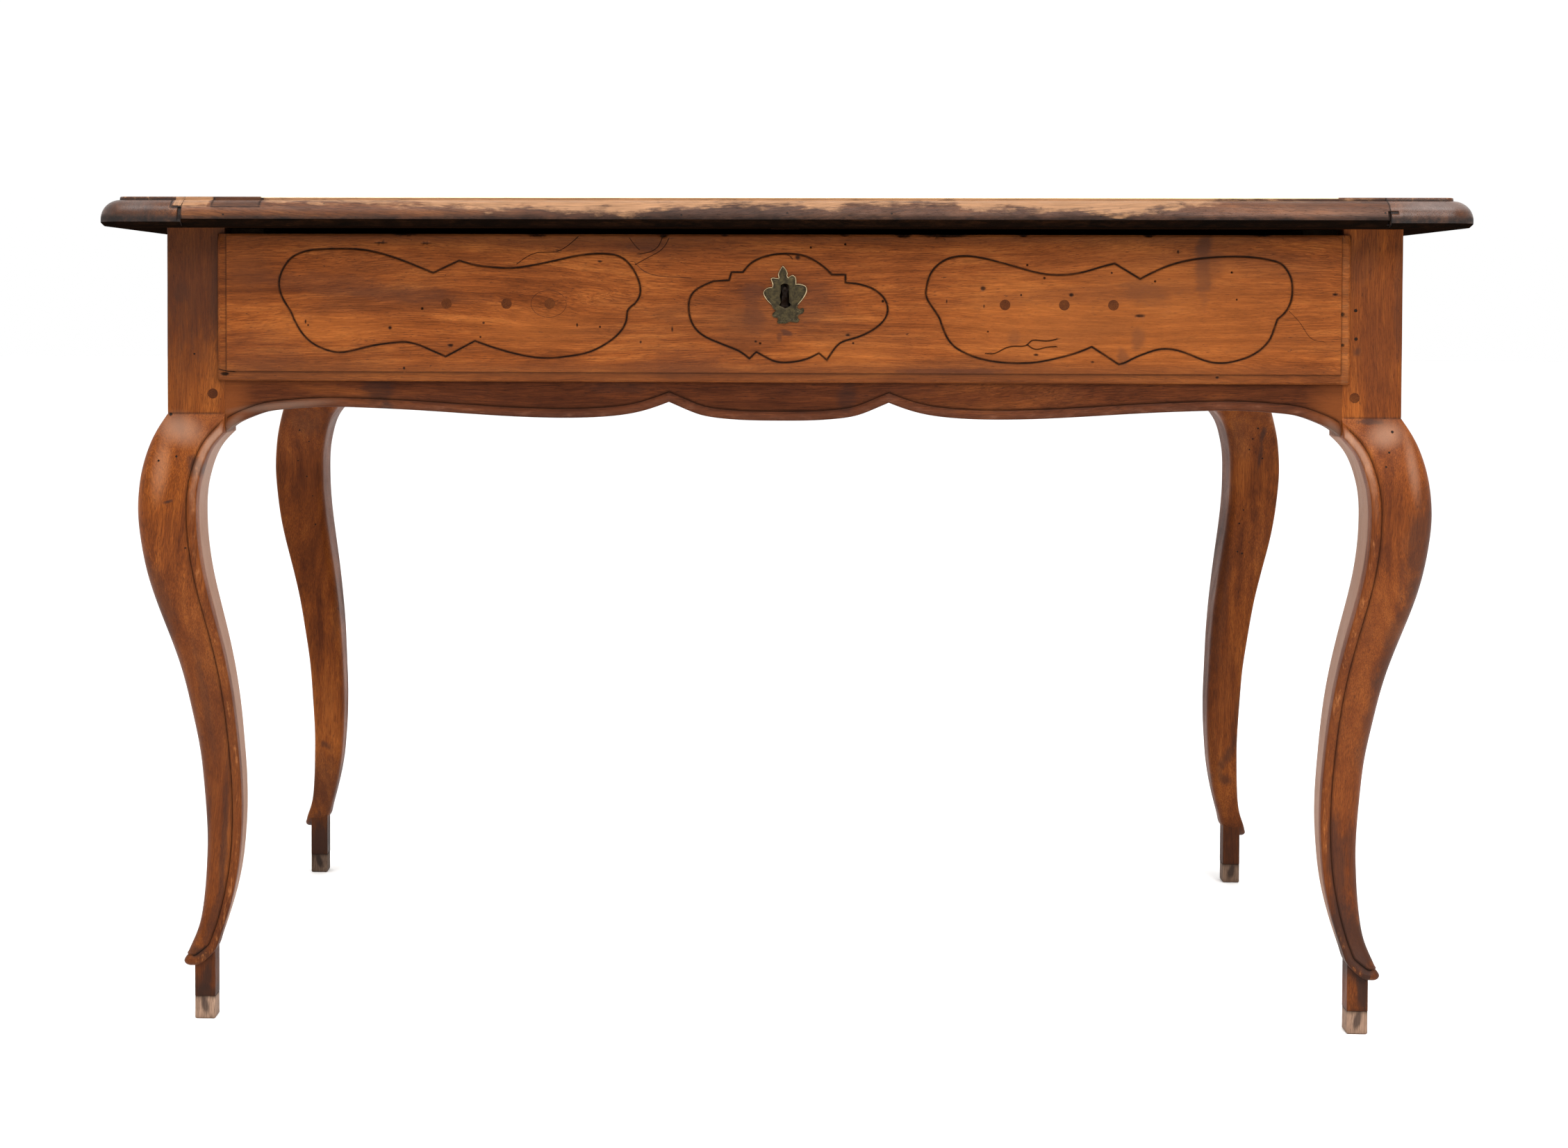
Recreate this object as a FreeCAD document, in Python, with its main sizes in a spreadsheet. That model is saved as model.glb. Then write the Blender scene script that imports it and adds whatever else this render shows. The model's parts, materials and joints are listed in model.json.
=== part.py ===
import FreeCAD, Part
import os
import re
import Sketcher

from FreeCAD import Placement, Rotation, Vector

# Writing desk with cabriole legs: a moulded top with a cross board at each end, four legs that are one
# piece with their posts, a shaped apron on each side and one long lipped drawer with a lock.
#
# Millimetres. X runs along the desk, Y runs from the front to the back and Z is up. The origin is on
# the floor, under the middle of the desk.

doc = FreeCAD.newDocument("WritingDesk")

# Driving sizes
SIZES = {
    # whole desk, measured over the posts
    "desk_height": 740,
    "case_width": 1088,
    "case_depth": 600,
    # top: a raised field, a rounded nose and a small undercut
    "top_overhang": 51,
    "top_thickness": 26,
    "field_rise": 3,
    "nose_radius": 16.8,
    "top_corner_radius": 25,
    "board_undercut": 5.8,
    "end_undercut": 3.3,
    "end_board_width": 76,
    "tongue_thickness": 8,
    "tongue_length": 22,
    "tongue_setback": 45,
    "end_peg_radius": 4,
    "end_peg_spacing": 230,
    "top_peg_radius": 4,
    "top_peg_depth": 31,
    "back_peg_spacing": 300,
    # legs
    "post_side": 52,
    "toe_height": 49.8,
    "foot_side": 18.8,
    "foot_inset": 18.4,
    "bead_width": 8.5,
    "groove_width": 2,
    "groove_depth": 1.5,
    # foot tips
    "tip_height": 20.8,
    "tip_side": 18.2,
    "tip_round": 1.5,
    "dowel_radius": 3,
    "dowel_length": 24,
    # aprons, their tenons and pegs
    "apron_thickness": 22,
    "apron_drop": 41.2,
    "tenon_thickness": 8,
    "tenon_length": 25,
    "low_tenon_height": 22,
    "high_tenon_height": 36,
    "tenon_margin": 8,
    "peg_radius": 4.4,
    "peg_length": 34,
    "peg_inset": 11,
    # drawer supports
    "runner_width": 30,
    "runner_height": 22,
    "guide_rise": 18,
    "guide_nail_spacing": 180,
    # drawer
    "drawer_height": 122.4,
    "drawer_back_gap": 28,
    "front_thickness": 24,
    "front_proud": 7,
    "lip_overlap": 5.8,
    "lower_lip": 7.7,
    "lip_border": 6.5,
    "lip_step": 1.5,
    "lip_round": 3.5,
    "top_gap": 5.5,
    "side_gap": 0.8,
    "side_step": 4.7,
    "side_thickness": 13,
    "back_thickness": 12,
    "back_step": 10,
    "bottom_thickness": 8,
    "bottom_raise": 10,
    "bottom_tongue": 6,
    "tail_depth": 14,
    "tail_width": 24,
    "tail_flare": 3,
    # incised lines on the drawer front
    "side_cartouche_width": 320,
    "side_cartouche_height": 96.5,
    "side_cartouche_place": 284.9,
    "side_cartouche_shift": 3,
    "side_cartouche_drop": 1.3,
    "middle_cartouche_width": 174.4,
    "middle_cartouche_height": 94.3,
    "middle_cartouche_shift": 7,
    "middle_cartouche_drop": 3.6,
    "incised_width": 2.6,
    "incised_depth": 1.5,
    # plugs in the holes of former handles
    "plug_radius": 4.6,
    "plug_length": 14,
    # lock, bolt, keyhole and escutcheon
    "lock_shift": 5,
    "lock_plate_width": 60,
    "lock_plate_height": 72,
    "lock_plate_thickness": 1.6,
    "selvedge_depth": 15,
    "lock_case_width": 44,
    "lock_case_height": 66,
    "lock_case_depth": 10,
    "lock_wall": 1.2,
    "bolt_width": 22,
    "bolt_thickness": 3.6,
    "bolt_height": 32,
    "bolt_travel": 10,
    "bolt_room": 1.5,
    "bolt_notch": 5,
    "keyhole_drop": 46.9,
    "keyhole_radius": 3.5,
    "keyhole_slot": 17.5,
    "keyhole_narrow": 2.3,
    "drill_pin_radius": 1.3,
    "escutcheon_width": 39,
    "escutcheon_height": 54,
    "escutcheon_drop": 27.1,
    "escutcheon_thickness": 1.5,
    # nails
    "nail_radius": 1,
    "nail_head_radius": 2,
    "nail_head_height": 0.8,
    "nail_length": 14,
    "pin_radius": 0.8,
    "pin_head_radius": 1.4,
    "pin_length": 9,
    # fits
    "running_gap": 0.3,
    "hole_gap": 0.05,
    "overrun": 2,
}

sheet = doc.addObject("Spreadsheet::Sheet", "Sizes")
for row, (alias, number) in enumerate(SIZES.items(), 1):
    sheet.set(f"A{row}", alias.replace("_", " "))
    sheet.set(f"B{row}", str(number))
    sheet.setAlias(f"B{row}", alias)
doc.recompute()


def bound(text):
    """an expression in which every size's name is read from the sheet"""
    return re.sub(r"[a-z_]+", lambda word: f"Sizes.{word[0]}" if word[0] in SIZES else word[0], text)


def value(text):
    """the number that such an expression gives, for shapes made from points"""
    return float(sheet.evalExpression(bound(text)))


# Places that several pieces share, written in the driving sizes
UNDERSIDE = "(desk_height - top_thickness)"
OPENING = "(case_width / 2 - post_side)"
SIDE_SPAN = "(case_depth / 2 - post_side)"
CASE_FRONT = "(-case_depth / 2)"
DRAWER_TOP = f"({UNDERSIDE} - top_gap)"
DRAWER_LOW = f"({DRAWER_TOP} - drawer_height)"
SEAT = f"({DRAWER_LOW} - running_gap)"
DRAWER_SIDE = f"({OPENING} - side_gap)"
DRAWER_FACE = f"({CASE_FRONT} - front_proud)"
FRONT_BACK = f"({DRAWER_FACE} + front_thickness)"
DRAWER_END = "(case_depth / 2 - apron_thickness - drawer_back_gap)"
PANEL_MIDDLE = f"({DRAWER_LOW} + drawer_height / 2)"
KEYHOLE = f"({DRAWER_TOP} - keyhole_drop)"

# Lower edge of the long aprons, from the middle to the post: shares of the half span and of the apron's
# drop below the drawer. The first stretch ends in the cusp, the second at the post.
MIDDLE_LOBE_SHARES = [(0, 1), (0.061, 0.992), (0.106, 0.951), (0.142, 0.874), (0.173, 0.733),
                      (0.197, 0.607)]
OUTER_LOBE_SHARES = [(0.197, 0.607), (0.222, 0.715), (0.256, 0.835), (0.305, 0.92), (0.38, 0.958),
                     (0.455, 0.945), (0.555, 0.881), (0.657, 0.806), (0.756, 0.755), (0.815, 0.742),
                     (0.882, 0.789), (0.933, 0.878), (0.96, 0.99), (0.982, 1.117), (1, 1.286)]
# Lower edge of the side aprons, the same way
SIDE_EDGE_SHARES = [(0, 0.975), (0.16, 0.952), (0.32, 0.874), (0.484, 0.789), (0.62, 0.755), (0.74, 0.77),
                    (0.83, 0.835), (0.881, 0.9), (0.921, 0.99), (0.964, 1.117), (1, 1.286)]
SEAM = f"({SEAT} - apron_drop * {OUTER_LOBE_SHARES[-1][1]})"

# Leg, cut to the same pattern on its two outer faces. Each row has the height as a share of the way up from
# the toe to the seam, then the outer edge, the inner edge and the corner's rounding as shares of the post's
# side. The edges are measured inwards from the post's outer face.
LEG_SHARES = [
    (0.0087, 0.183, 0.731, 0.154), (0.017, 0.212, 0.737, 0.154), (0.0294, 0.26, 0.758, 0.154),
    (0.046, 0.321, 0.788, 0.163), (0.0625, 0.375, 0.833, 0.163), (0.1039, 0.446, 0.942, 0.173),
    (0.1453, 0.481, 1.031, 0.183), (0.1867, 0.5, 1.092, 0.192), (0.2281, 0.508, 1.127, 0.202),
    (0.2696, 0.496, 1.148, 0.212), (0.311, 0.473, 1.154, 0.212), (0.3524, 0.444, 1.144, 0.221),
    (0.3938, 0.408, 1.123, 0.231), (0.4766, 0.287, 1.067, 0.231), (0.5594, 0.133, 0.975, 0.24),
    (0.6422, -0.085, 0.842, 0.25), (0.725, -0.3, 0.696, 0.269), (0.8078, -0.425, 0.602, 0.269),
    (0.8492, -0.454, 0.588, 0.269), (0.901, -0.433, 0.613, 0.26), (0.9321, -0.39, 0.673, 0.24),
    (0.9528, -0.344, 0.731, 0.212), (0.9735, -0.285, 0.819, 0.183), (0.9859, -0.24, 0.9, 0.154),
    (1.0004, -0.179, 1.023, 0.125), (1.0149, -0.106, 1.202, 0.087), (1.0335, 0, 1.615, 0.038),
]
TOE_SHARES = (0, 0.2, 0.725, 0.14)
KNEE_TRIM_SHARE = 0.93

# Side cartouche: corners and the round stretches between them, as shares of its half width and half
# height. Each stretch lists the points after the corner that the last one ended in.
SIDE_CARTOUCHE_SHARES = [
    [(-0.0125, 0.825)],
    [(0.14, 0.72), (0.28, 0.69), (0.43, 0.75), (0.59, 0.87), (0.74, 0.95), (0.87, 0.93), (0.95, 0.75),
     (0.995, 0.47), (1, 0.21), (0.9625, -0.02)],
    [(0.92, -0.37), (0.84, -0.7), (0.7, -0.9), (0.51, -0.985), (0.31, -0.91), (0.0875, -0.655)],
    [(-0.07, -0.96)],
    [(-0.21, -0.74), (-0.37, -0.7), (-0.59, -0.86), (-0.7, -0.89), (-0.82, -0.71), (-0.9, -0.4),
     (-0.93, -0.14)],
    [(-0.99, 0.13), (-1, 0.45), (-0.96, 0.71), (-0.875, 0.95), (-0.725, 1.02), (-0.55, 1.01),
     (-0.375, 0.9), (-0.24, 0.72), (-0.156, 0.575)],
]
# Right half of the middle cartouche, from its top to its bottom, the same way
MIDDLE_CARTOUCHE_SHARES = [
    [(0, 0.985), (0.16, 0.955), (0.3, 0.85), (0.38, 0.71), (0.45, 0.61)],
    [(0.59, 0.61)],
    [(0.59, 0.465)],
    [(0.76, 0.435), (0.91, 0.29), (0.99, 0.09), (1, -0.135), (0.925, -0.36), (0.775, -0.54),
     (0.58, -0.685), (0.39, -0.955)],
    [(0.31, -0.82)],
    [(0.185, -0.945), (0, -1.015)],
]
# Right half of the escutcheon, from its upper tip to its lower tip
ESCUTCHEON_SHARES = [
    [(0, 1), (0.22, 0.75)],
    [(0.12, 0.65)],
    [(0.36, 0.7), (0.56, 0.62)],
    [(0.74, 0.42), (1, 0.17)],
    [(0.72, -0.07), (0.57, -0.24), (0.56, -0.42)],
    [(0.72, -0.46), (0.67, -0.6)],
    [(0.54, -0.7), (0.48, -0.79)],
    [(0, -0.9)],
]


# Helpers for pieces whose sizes are bound to the sheet
def board(name, x, y, z):
    """a straight piece between a low and a high place along each axis"""
    piece = doc.addObject("Part::Box", name)
    for (low, high), size, axis in zip((x, y, z), ("Length", "Width", "Height"), "xyz"):
        piece.setExpression(size, bound(f"({high}) - ({low})"))
        piece.setExpression(f"Placement.Base.{axis}", bound(low))
    return piece


TURNS = {"x": Rotation(Vector(0, 1, 0), 90), "y": Rotation(Vector(1, 0, 0), -90), "z": Rotation()}


def rod(name, radius, length, axis, x, y, z):
    """a round piece that starts at a place and runs up along an axis"""
    piece = doc.addObject("Part::Cylinder", name)
    piece.Placement = Placement(Vector(), TURNS[axis])
    piece.setExpression("Radius", bound(radius))
    piece.setExpression("Height", bound(length))
    for key, place in zip("xyz", (x, y, z)):
        piece.setExpression(f"Placement.Base.{key}", bound(place))
    return piece


def flipped(span, side):
    """a span along an axis, or its mirror image where side is -1"""
    low, high = span
    return (low, high) if side > 0 else (f"-({high})", f"-({low})")


def signed(place, side):
    return place if side > 0 else f"-({place})"


def joined(name, pieces):
    """several pieces glued into one solid"""
    whole = doc.addObject("Part::MultiFuse", name)
    whole.Shapes = pieces
    whole.Refine = True
    return whole


def group(name, pieces):
    """alike small pieces that share one node"""
    whole = doc.addObject("Part::Compound", name)
    whole.Links = pieces
    return whole


def less(name, base, tools):
    """a piece with tools taken away from it"""
    piece = doc.addObject("Part::Cut", name)
    piece.Base = base
    piece.Tool = tools[0] if len(tools) == 1 else group(f"{name}_tools", tools)
    return piece


def made(name, shape):
    """a piece whose shape comes from points that follow the sheet"""
    piece = doc.addObject("Part::Feature", name)
    piece.Shape = shape
    return piece


def mirror(name, source, normal):
    image = doc.addObject("Part::Mirroring", name)
    image.Source = source
    image.Normal = normal
    return image


NODES = {}


def node(name, piece):
    """names a finished piece"""
    piece.Label = name
    NODES[name] = piece
    return piece


# Helpers for outlines: a stretch is a list of points that one smooth curve follows
def curve(points):
    if len(points) == 2:
        return Part.LineSegment(*points)
    smooth = Part.BSplineCurve()
    smooth.interpolate(points)
    return smooth


def normals(points):
    line = curve(points)
    slopes = [line.tangent(line.parameter(point))[0] for point in points]
    return [Vector(-slope.z, 0, slope.x).normalize() for slope in slopes]


def offset(stretches, distance, closed=False):
    """the stretches moved sideways, mitred where two of them meet in a corner"""
    sides = [normals(points) for points in stretches]
    moved = [[point + side * distance for point, side in zip(points, row)]
             for points, row in zip(stretches, sides)]
    for index in range(0 if closed else 1, len(stretches)):
        before, after = sides[index - 1][-1], sides[index][0]
        mitre = (before + after).normalize()
        corner = stretches[index][0] + mitre * (distance / mitre.dot(after))
        moved[index - 1][-1] = corner
        moved[index][0] = corner
    return moved


def wire(stretches, depth=0):
    shift = Vector(0, depth, 0)
    return Part.Wire([curve([point + shift for point in points]).toShape() for points in stretches])


def closed_wire(stretches):
    """open stretches from the first point to the last, closed by a straight line"""
    ends = [stretches[-1][-1], stretches[0][0]]
    return wire(stretches + [ends])


def band(stretches, near, far):
    """the face between two lines that run beside an edge"""
    low = offset(stretches, near)
    high = [list(reversed(points)) for points in reversed(offset(stretches, far))]
    return Part.Face(closed_wire(low + [[low[-1][-1], high[0][0]]] + high))


def incised(stretches, width, depth, face):
    """a V line along a closed outline, sunk below the plane y = face"""
    walls = []
    for side in (width / 2, -width / 2):
        mouth = wire(offset(stretches, side, True), face)
        walls.append(Part.makeLoft([mouth, wire(stretches, face + depth)], True, True))
    outer, inner = sorted(walls, key=lambda wall: -wall.BoundBox.DiagonalLength)
    return outer.cut(inner)


# Top
TOP_X = "(case_width / 2 + top_overhang)"
TOP_Y = "(case_depth / 2 + top_overhang)"
JOINT = f"({TOP_X} - end_board_width)"
TONGUE_LOW = f"({UNDERSIDE} + (top_thickness - tongue_thickness) / 2)"
TONGUE_Z = (TONGUE_LOW, f"{TONGUE_LOW} + tongue_thickness")
TONGUE_Y = f"({TOP_Y} - tongue_setback)"


def origin_plane(body, role):
    return next(item for item in body.Origin.OriginFeatures if item.Role == role)


def rectangle(body, name, role, width, height, lift="0", middle="0", centre="0"):
    """a sketch of a rectangle, its middle on the plane's first axis unless it is moved"""
    sketch = body.newObject("Sketcher::SketchObject", name)
    sketch.AttachmentSupport = [(origin_plane(body, role), "")]
    sketch.MapMode = "FlatFace"
    for axis, place in zip("xyz", (centre, middle, lift)):
        sketch.setExpression(f"AttachmentOffset.Base.{axis}", bound(place))
    corners = [Vector(-1, -1, 0), Vector(1, -1, 0), Vector(1, 1, 0), Vector(-1, 1, 0)]
    for start, end in zip(corners, corners[1:] + corners[:1]):
        sketch.addGeometry(Part.LineSegment(start, end), False)
    for line in range(4):
        sketch.addConstraint(Sketcher.Constraint("Coincident", line, 2, (line + 1) % 4, 1))
        sketch.addConstraint(Sketcher.Constraint("Vertical" if line % 2 else "Horizontal", line))
    sketch.addConstraint(Sketcher.Constraint("Symmetric", 0, 1, 1, 2, -1, 1))
    for line, kind, text in ((0, "DistanceX", width), (1, "DistanceY", height)):
        index = sketch.addConstraint(Sketcher.Constraint(kind, line, 1, line, 2, value(text)))
        sketch.setExpression(f"Constraints[{index}]", bound(text))
    return sketch


def pad(body, name, sketch, length, reverse=False):
    feature = body.newObject("PartDesign::Pad", name)
    feature.Profile = sketch
    feature.setExpression("Length", bound(length))
    feature.Reversed = reverse
    doc.recompute()
    return feature


def pocket(body, name, sketch, length, reverse=False):
    before = body.Shape.Volume
    feature = body.newObject("PartDesign::Pocket", name)
    feature.Profile = sketch
    feature.setExpression("Length", bound(length))
    feature.Reversed = reverse
    doc.recompute()
    if body.Shape.Volume >= before:
        raise RuntimeError(f"{name} cuts nothing")
    return feature


def dressed(body, kind, name, base, test, size):
    """a fillet or chamfer on the edges of the last feature that pass a test"""
    edges = [f"Edge{index}" for index, edge in enumerate(base.Shape.Edges, 1) if test(edge)]
    feature = body.newObject(f"PartDesign::{kind}", name)
    feature.Base = (base, edges)
    feature.setExpression("Radius" if kind == "Fillet" else "Size", bound(size))
    doc.recompute()
    return feature


TOUCH = 1e-3


def upright(edge):
    box = edge.BoundBox
    return box.ZLength > box.XLength + box.YLength


def at_height(place):
    height = value(place)

    def level(edge):
        box = edge.BoundBox
        return box.ZLength < TOUCH and abs(box.ZMin - height) < TOUCH

    return level


def slab(name, undercut):
    """the whole top before it is sawn into boards: nose, undercut and raised field"""
    body = doc.addObject("PartDesign::Body", name)
    rim = f"{UNDERSIDE} + top_thickness - field_rise"
    plan = rectangle(body, f"{name}_plan", "XY_Plane", f"2 * {TOP_X}", f"2 * {TOP_Y}", lift=UNDERSIDE)
    plate = pad(body, f"{name}_plate", plan, "top_thickness - field_rise")
    plate = dressed(body, "Fillet", f"{name}_corners", plate, upright, "top_corner_radius")
    plate = dressed(body, "Fillet", f"{name}_nose", plate, at_height(rim), "nose_radius")
    dressed(body, "Chamfer", f"{name}_undercut", plate, at_height(UNDERSIDE), undercut)
    field = rectangle(body, f"{name}_field_plan", "XY_Plane", f"2 * ({TOP_X} - nose_radius)",
                      f"2 * ({TOP_Y} - nose_radius)", lift=f"{rim} - field_rise")
    raised = pad(body, f"{name}_field", field, "2 * field_rise")
    round_size = "top_corner_radius - nose_radius"
    corner = value(f"{TOP_X} - nose_radius")

    def field_corner(edge):
        return upright(edge) and abs(abs(edge.BoundBox.Center.x) - corner) < TOUCH

    dressed(body, "Fillet", f"{name}_field_corners", raised, field_corner, round_size)
    return body


board_slab = slab("board_slab", "board_undercut")
end_slab = slab("end_slab", "end_undercut")
FULL_Z = (UNDERSIDE, "desk_height")
THIRD = f"({TOP_Y} / 3)"


def top_pegs(make, name):
    """the pegs that hold the top: down into the posts and into the back apron"""
    post = f"({OPENING} + 1.5 * end_peg_radius + peg_length / 5)"
    spots = [(signed(post, side), signed(f"({SIDE_SPAN} + post_side / 2)", row))
             for side in (-1, 1) for row in (-1, 1)]
    rail = "case_depth / 2 - apron_thickness / 2"
    spots += [(f"{place} * back_peg_spacing", rail) for place in (-1, 0, 1)]
    length = "top_thickness + top_peg_depth"
    return [make(f"{name}_{index}", "top_peg_radius", length, "z", x, y, f"{UNDERSIDE} - top_peg_depth")
            for index, (x, y) in enumerate(spots)]


def drilled(name, radius, length, axis, x, y, z):
    """the hole for a round piece, a little wider than the piece"""
    return rod(name, f"{radius} + hole_gap", length, axis, x, y, z)


top_peg_holes = top_pegs(drilled, "top_peg_hole")
node("top_fixing_pegs", group("top_fixing_pegs", top_pegs(rod, "top_peg")))

end_pegs = []
end_peg_holes = []
for side in (-1, 1):
    for place in (-1, 0, 1):
        spot = (signed(f"({JOINT} + tongue_length / 2)", side), f"{place} * end_peg_spacing", UNDERSIDE)
        tag = f"{'left' if side < 0 else 'right'}_{place + 1}"
        end_pegs.append(rod(f"end_peg_{tag}", "end_peg_radius", "top_thickness", "z", *spot))
        end_peg_holes.append(drilled(f"end_peg_hole_{tag}", "end_peg_radius", "top_thickness", "z", *spot))
node("top_end_pegs", group("top_end_pegs", end_pegs))

BOLT_X = ("lock_shift - bolt_width / 2", "lock_shift + bolt_width / 2")
BOLT_BACK = f"({FRONT_BACK} - lock_plate_thickness - running_gap)"
BOLT_Y = (f"{BOLT_BACK} - bolt_thickness", BOLT_BACK)


def wider(span, room):
    return (f"{span[0]} - {room}", f"{span[1]} + {room}")


bolt_mortise = board("bolt_mortise", wider(BOLT_X, "bolt_room"), wider(BOLT_Y, "bolt_room"),
                     (f"{UNDERSIDE} - overrun", f"{DRAWER_TOP} + bolt_travel + bolt_room"))

for name, low, high in (("front", f"-{TOP_Y}", f"-{THIRD}"), ("middle", f"-{THIRD}", THIRD),
                        ("back", THIRD, TOP_Y)):
    plank = doc.addObject("Part::Common", f"{name}_plank")
    plank.Base = board_slab
    plank.Tool = board(f"{name}_plank_saw", (f"-{JOINT}", JOINT), (low, high), FULL_Z)
    tongue_y = (low.replace(TOP_Y, TONGUE_Y) if name == "front" else low,
                high.replace(TOP_Y, TONGUE_Y) if name == "back" else high)
    tongue_x = (f"{JOINT} - tongue_length", f"{JOINT} + tongue_length")
    tongues = [board(f"{name}_tongue_{side}", flipped(tongue_x, sign), tongue_y, TONGUE_Z)
               for side, sign in (("left", -1), ("right", 1))]
    holes = end_peg_holes + top_peg_holes + ([bolt_mortise] if name == "front" else [])
    whole = joined(f"{name}_plank_with_tongues", [plank] + tongues)
    node(f"top_board_{name}", less(f"top_board_{name}", whole, holes))

for name, sign in (("left", -1), ("right", 1)):
    end = doc.addObject("Part::Common", f"{name}_end_blank")
    end.Base = end_slab
    end.Tool = board(f"{name}_end_saw", flipped((JOINT, TOP_X), sign), (f"-{TOP_Y}", TOP_Y), FULL_Z)
    slot = board(f"{name}_end_slot", flipped((f"{JOINT} - overrun", f"{JOINT} + tongue_length"), sign),
                 (f"-{TONGUE_Y}", TONGUE_Y), TONGUE_Z)
    node(f"top_end_{name}", less(f"top_end_{name}", end, [slot] + end_peg_holes))


# Legs
def leg_section(height, outer, inner, radius):
    """a square, its outer corner rounded, as a wire at a height"""
    half = radius * (1 - 0.5 ** 0.5)
    corner = Part.Arc(Vector(outer + radius, outer, height), Vector(outer + half, outer + half, height),
                      Vector(outer, outer + radius, height))
    places = [(outer, outer + radius), (outer, inner), (inner, inner), (inner, outer),
              (outer + radius, outer)]
    points = [Vector(*place, height) for place in places]
    lines = [Part.LineSegment(start, end).toShape() for start, end in zip(points, points[1:])]
    return Part.Wire([corner.toShape()] + lines)


def leg_blank():
    """one leg with its post, its outer faces on the planes x = 0 and y = 0, with a bead on both faces"""
    post = value("post_side")
    seam = value(SEAM)
    toe = value("toe_height")
    rise = seam - toe
    rows = [(toe + height * rise, outer * post, inner * post, radius * post)
            for height, outer, inner, radius in [TOE_SHARES] + LEG_SHARES]
    cabriole = Part.makeLoft([leg_section(*row) for row in rows], True)
    knee = rows[-1][0]
    trim = toe + KNEE_TRIM_SHARE * rise
    for low in (Vector(post, -post, trim), Vector(-post, post, trim)):
        cabriole = cabriole.cut(Part.makeBox(3 * post, 3 * post, knee, low))
    column = Part.makeBox(post, post, value(UNDERSIDE) - knee, Vector(0, 0, knee))
    inset, side, tip = value("foot_inset"), value("foot_side"), value("tip_height")
    block = Part.makeBox(side, side, toe + side / 4 - tip, Vector(inset, inset, tip))
    leg = cabriole.fuse([column, block]).removeSplitter()

    bead, groove, sunk = value("bead_width"), value("groove_width"), value("groove_depth")
    inner_edge = [Vector(inner, 0, height) for height, outer, inner, radius in rows[2:]]
    outer_edge = [Vector(outer, 0, height) for height, outer, inner, radius in rows[2:]]
    line = band([inner_edge], bead, bead + groove)
    line.translate(Vector(0, -post, 0))
    skin = band([outer_edge], value("overrun"), -sunk)
    skin.rotate(Vector(), Vector(0, 0, 1), 90)
    skin.translate(Vector(post, 0, 0))
    skin = skin.extrude(Vector(-2 * post, 0, 0))
    carved = line.extrude(Vector(0, 2 * post, 0)).common(skin)
    return leg.cut([carved, carved.mirror(Vector(), Vector(1, -1, 0))])


corner_leg = made("corner_leg", leg_blank())
corner_leg.setExpression("Placement.Base.x", bound("-case_width / 2"))
corner_leg.setExpression("Placement.Base.y", bound(CASE_FRONT))
right_leg = mirror("right_leg", corner_leg, Vector(1, 0, 0))
leg_blanks = {("front", "left"): corner_leg, ("front", "right"): right_leg,
              ("back", "left"): mirror("back_left_leg", corner_leg, Vector(0, 1, 0)),
              ("back", "right"): mirror("back_right_leg", right_leg, Vector(0, 1, 0))}

# Tenons: the low one under the drawer, and two on each apron that reaches up to the top
LOW_TENON = (f"{SEAT} - tenon_margin - low_tenon_height", f"{SEAT} - tenon_margin")
TALL_TENONS = [(f"{SEAT} - tenon_margin - low_tenon_height", f"{SEAT} + tenon_margin"),
               (f"{UNDERSIDE} - 3 * tenon_margin - high_tenon_height", f"{UNDERSIDE} - 3 * tenon_margin")]
TENON_FAR = "(case_depth / 2 - (apron_thickness - tenon_thickness) / 2)"
TENON_SIDE = "(case_width / 2 - (apron_thickness - tenon_thickness) / 2)"


def long_tenons(name, row, heights):
    """tenons of the front apron (row -1) or the back apron (row 1), at both ends"""
    thick = flipped((f"{TENON_FAR} - tenon_thickness", TENON_FAR), row)
    reach = (OPENING, f"{OPENING} + tenon_length")
    return [board(f"{name}_tenon_{index}_{end}", flipped(reach, side), thick, span)
            for index, span in enumerate(heights) for end, side in (("left", -1), ("right", 1))]


def side_tenons(name, side):
    thick = flipped((f"{TENON_SIDE} - tenon_thickness", TENON_SIDE), side)
    reach = (SIDE_SPAN, f"{SIDE_SPAN} + tenon_length")
    return [board(f"{name}_tenon_{index}_{end}", thick, flipped(reach, row), span)
            for index, span in enumerate(TALL_TENONS) for end, row in (("front", -1), ("back", 1))]


def middle(span):
    return f"(({span[0]}) + ({span[1]})) / 2"


def long_pegs(make, name, row, heights):
    """pegs that pin the tenons of the front or the back apron from its outer face"""
    start = CASE_FRONT if row < 0 else "case_depth / 2 - peg_length"
    return [make(f"{name}_{index}_{end}", "peg_radius", "peg_length", "y",
                 signed(f"({OPENING} + peg_inset)", side), start, middle(span))
            for index, span in enumerate(heights) for end, side in (("left", -1), ("right", 1))]


def side_pegs(make, name, side):
    start = "-case_width / 2" if side < 0 else "case_width / 2 - peg_length"
    return [make(f"{name}_{index}_{end}", "peg_radius", "peg_length", "x",
                 start, signed(f"({SIDE_SPAN} + peg_inset)", row), middle(span))
            for index, span in enumerate(TALL_TENONS) for end, row in (("front", -1), ("back", 1))]


tenons = {"front": long_tenons("front", -1, [LOW_TENON]), "back": long_tenons("back", 1, TALL_TENONS),
          "left": side_tenons("left", -1), "right": side_tenons("right", 1)}
peg_holes = {"front": long_pegs(drilled, "front_peg_hole", -1, [LOW_TENON]),
             "back": long_pegs(drilled, "back_peg_hole", 1, TALL_TENONS),
             "left": side_pegs(drilled, "left_peg_hole", -1),
             "right": side_pegs(drilled, "right_peg_hole", 1)}
node("front_apron_pegs", group("front_apron_pegs", long_pegs(rod, "front_peg", -1, [LOW_TENON])))
node("back_apron_pegs", group("back_apron_pegs", long_pegs(rod, "back_peg", 1, TALL_TENONS)))
node("left_apron_pegs", group("left_apron_pegs", side_pegs(rod, "left_peg", -1)))
node("right_apron_pegs", group("right_apron_pegs", side_pegs(rod, "right_peg", 1)))

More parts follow.
